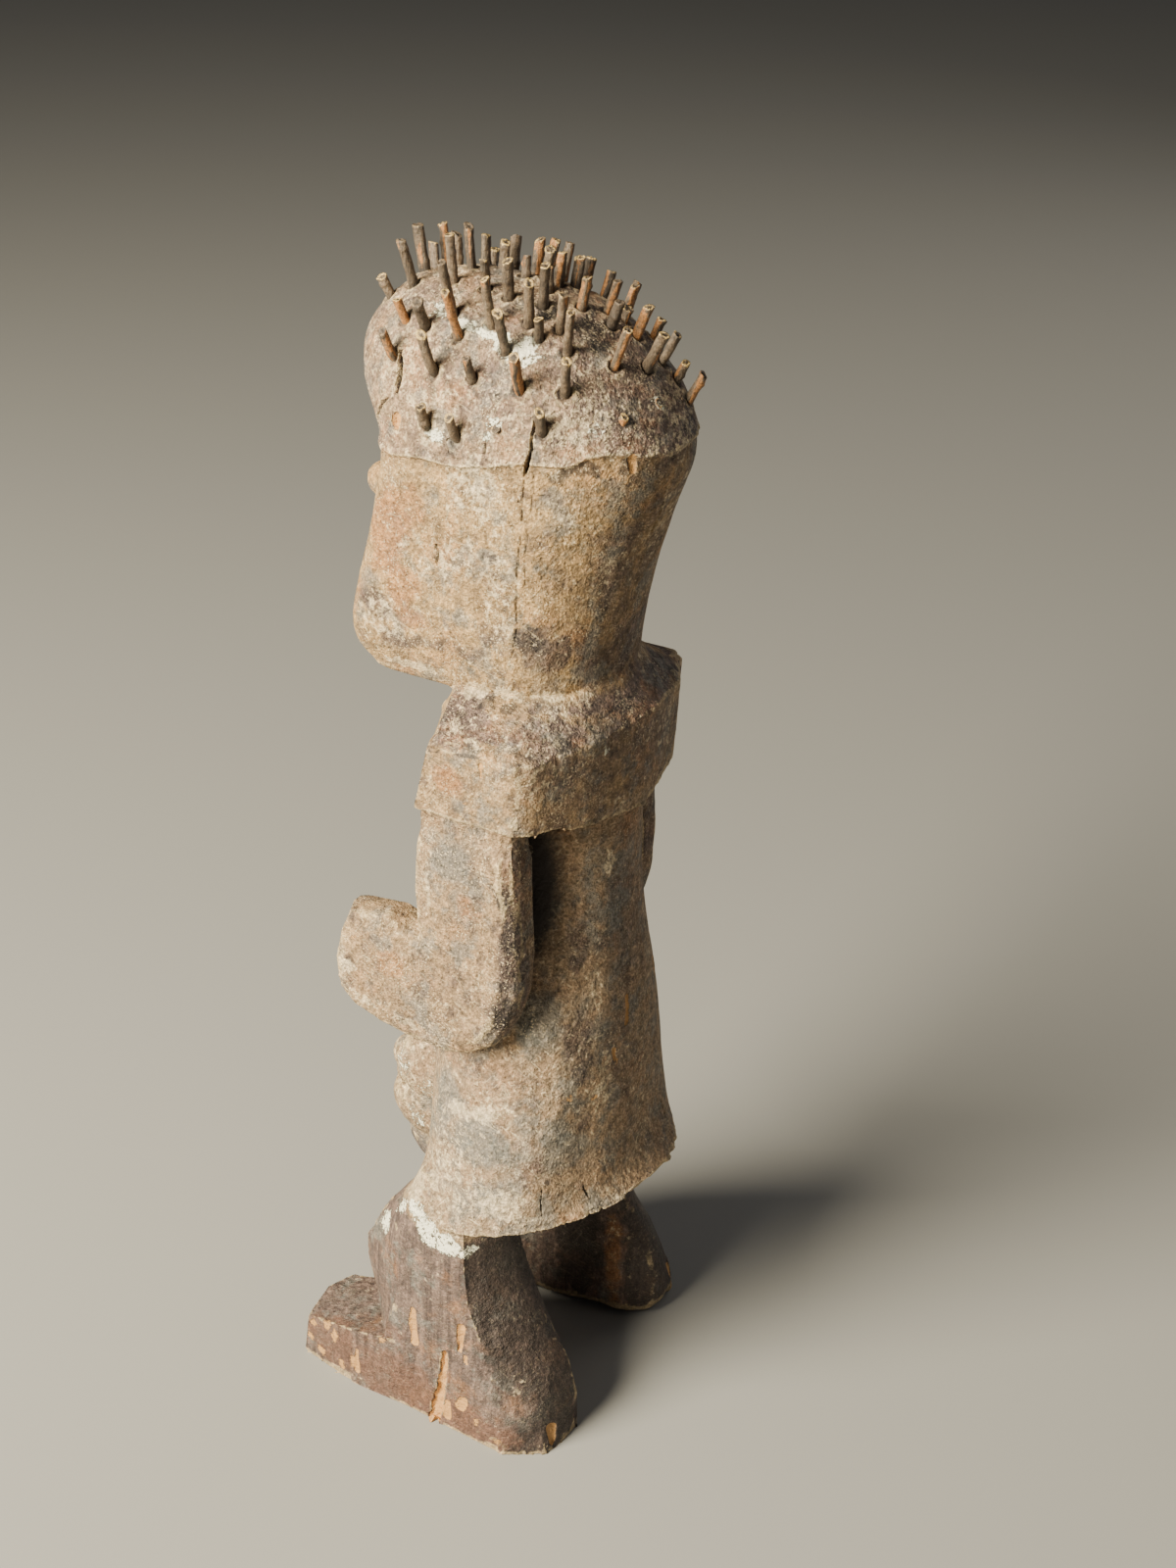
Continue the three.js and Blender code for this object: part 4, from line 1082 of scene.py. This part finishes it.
def twig(root, direction, length, seed):  # points, faces and colour layers, from the root to a broken end
    rng = np.random.default_rng(seed)
    rings, sides = stickShape["rings"], stickShape["sides"]
    across = np.cross(direction, [0.31, 0.87, 0.38])
    across /= np.linalg.norm(across)
    other = np.cross(direction, across)
    angle = np.tile(np.arange(sides) * 2 * math.pi / sides, rings)
    level = np.repeat(np.linspace(0, 1, rings) ** 0.9, sides)
    around = np.stack([np.cos(angle), np.sin(angle)], 1)
    oval, ovalTurn = rng.uniform(0.02, 0.1), rng.uniform(0, math.pi)
    radius = stickShape["radius"] * rng.uniform(0.9, 1.1) * (1 + oval * np.cos(2 * (angle - ovalTurn)))
    radius = radius * (1 - rng.uniform(-0.05, 0.1) * level)
    bark = np.column_stack([around * 1.6, level * length * 0.28])
    radius += 0.3 * layeredNoise(bark, 0.9, seed, 3)
    for _ in range(rng.integers(0, 3)):
        knotLevel, knotTurn = rng.uniform(0.3, 0.95), rng.uniform(0, 2 * math.pi)
        facing = np.clip(np.cos(angle - knotTurn), 0, 1)
        radius += stickShape["knot"] * facing * bell((level - knotLevel) * length, 0, 0.9)
    peelNoise = layeredNoise(bark * [1, 1, 0.5], 1.9, seed + 5, 2)
    peel = smoothStep(0.15, 0.35, peelNoise + rng.uniform(-0.3, 0.45) + 0.2 * (level - 0.6))
    radius -= stickShape["peel"] * peel
    slant, slantTurn = rng.uniform(0, 0.55), rng.uniform(0, 2 * math.pi)
    jag = layeredNoise(np.column_stack([around, np.zeros(len(angle))]) * 3, 1.3, seed + 9, 2)
    endDrop = slant * radius * (1 + np.cos(angle - slantTurn)) + 0.7 * (0.5 + 0.5 * jag)
    along = level * (length - endDrop * smoothStep(0.5, 1, level))
    fray = smoothStep(0.9, 1.0, level) * smoothStep(0.5, 0.95, np.cos(angle - rng.uniform(0, 6.28)))
    radius += fray * rng.choice([0, 0, stickShape["fray"]])  # one end in three is frayed
    bendTurn = rng.uniform(0, 2 * math.pi)
    bend = stickShape["bend"] * rng.uniform(0.1, 1) * level ** 2
    free = np.clip((level * length - stickSeat) / max(length - stickSeat, 4), 0, 1)
    upturn = stickShape["upturn"] * max(length - stickSeat, 0) * np.clip((0.9 - direction[2]) / 0.2, 0, 1)
    if upturn > 0:
        bendTurn, bend = math.atan2(other[2], across[2]), upturn * free ** 1.6
    bendWay = np.array([math.cos(bendTurn), math.sin(bendTurn)])
    side = around * radius[:, None] + bend[:, None] * bendWay
    local = [np.column_stack([side, along])]
    tip = [smoothStep(0.955, 1.0, level + 0.03 * jag) * 0.9]
    side, along = side[-sides:], along[-sides:]
    middle = bendWay * bend[-1]
    for k, share in enumerate(stickShape["capRings"]):
        drop = rng.uniform(-0.5, 0.3, sides) - 0.25 * k
        capAlong = along * share + along.mean() * (1 - share) + drop
        local.append(np.column_stack([middle + (side - middle) * share, capAlong]))
        tip.append(rng.uniform(0.5, 1.0, sides) * (1 - 0.55 * k))
    local.append(np.array([[*middle, along.mean() + rng.uniform(-0.3, 0.2)]]))
    local = np.concatenate(local)
    tip = np.concatenate([*tip, np.zeros(1)])
    places = root + local[:, :1] * across + local[:, 1:2] * other + local[:, 2:] * direction
    peel = np.concatenate([peel, np.zeros(len(tip) - len(peel))])
    shadeNoise = layeredNoise(places, 3.0, seed + 13, 2) * 0.7
    foot = 1 - smoothStep(0.0, 3.5, local[:, 2] - min(stickSeat, length * 0.5))
    pith = np.arange(len(tip)) >= (rings + 1) * sides
    shade = np.clip(rng.uniform(-0.05, 0.6) + shadeNoise + 0.3 * foot + 0.6 * pith, 0, 1) * (1 - tip)
    tip = tip * rng.uniform(0.35, 1.0)
    faces = twigFaces(rings + len(stickShape["capRings"]), sides)
    return places, faces, {"tip": tip, "peel": peel * rng.uniform(0.5, 1.0), "shade": shade}


def twigMesh(name, twigs):  # one mesh of one or more twigs, which all have the same number of points
    size = len(twigs[0][0])
    places = np.concatenate([places for places, _, _ in twigs])
    faces = [[size * k + i for i in face] for k, (_, faces, _) in enumerate(twigs) for face in faces]
    mesh = bpy.data.meshes.new(name)
    mesh.from_pydata((places * mm).tolist(), [], faces)
    for key in ("tip", "peel", "shade"):
        putAttribute(mesh, key, np.concatenate([layers[key] for _, _, layers in twigs]))
    shadeSmooth(mesh)
    return mesh


for number, (name, (root, direction, length)) in enumerate(sticks.items()):
    mesh = twigMesh(name + "Twig", [twig(root, direction, length, 300 + 7 * number)])
    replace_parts(addObject(name + "Twig", mesh, barkFinish), name)
stubTwigs = []
for number, (foot, direction, shown) in enumerate(stubs):
    direction = np.array(direction, float) / np.linalg.norm(direction)
    root = np.array(foot) - direction * stubSeat
    stubTwigs.append(twig(root, direction, stubSeat + shown, 800 + 7 * number))
addObject("brokenStubs", twigMesh("brokenStubs", stubTwigs), barkFinish)
print("sticks built")


# Floor and lights

stage = {
    "floor": srgb(146, 144, 140),
    "floorReach": 14.0,
    "skyColour": srgb(226, 228, 232),
    "sky": 0.10,
    "aim": (0, 0, 0.22),
}

# Lights: the way that each stands from the aim, its distance, size, power and colour
lamps = {
    "key": ((0.79, -0.36, 0.50), 1.7, 1.1, 148.0, (1.0, 0.92, 0.72)),
    "fill": ((-0.2, 0.9, 0.5), 2.2, 1.6, 1.5, (0.95, 0.97, 1.0)),
    "back": ((-0.85, 0.35, 0.4), 2.4, 1.8, 10.0, (1.0, 0.97, 0.9)),
}


def setFloor():
    reach = stage["floorReach"]
    mesh = bpy.data.meshes.new("floor")
    corners = [(-reach, -reach, 0), (reach, -reach, 0), (reach, reach, 0), (-reach, reach, 0)]
    mesh.from_pydata(corners, [], [(0, 1, 2, 3)])
    floor = linked("floor", mesh)
    material, _, shader = newMaterial("floorPaint")
    shader["Base Color"].default_value = stage["floor"]
    shader["Roughness"].default_value = 0.9
    mesh.materials.append(material)


def setLights():
    aim = Vector(stage["aim"])
    for name, (way, distance, size, power, colour) in lamps.items():
        light = bpy.data.lights.new(name + "Light", "AREA")
        light.shape = "DISK"
        light.size = size
        light.energy = power
        light.color = colour
        lamp = linked(name + "Light", light)
        lamp.location = aim + Vector(way).normalized() * distance
        lamp.rotation_euler = (aim - lamp.location).to_track_quat("-Z", "Y").to_euler()
    world = bpy.data.worlds.new("sky")
    world.use_nodes = True
    sky = world.node_tree.nodes["Background"].inputs
    sky["Color"].default_value = stage["skyColour"]
    sky["Strength"].default_value = stage["sky"]
    bpy.context.scene.world = world


setFloor()
setLights()
print("stage set")
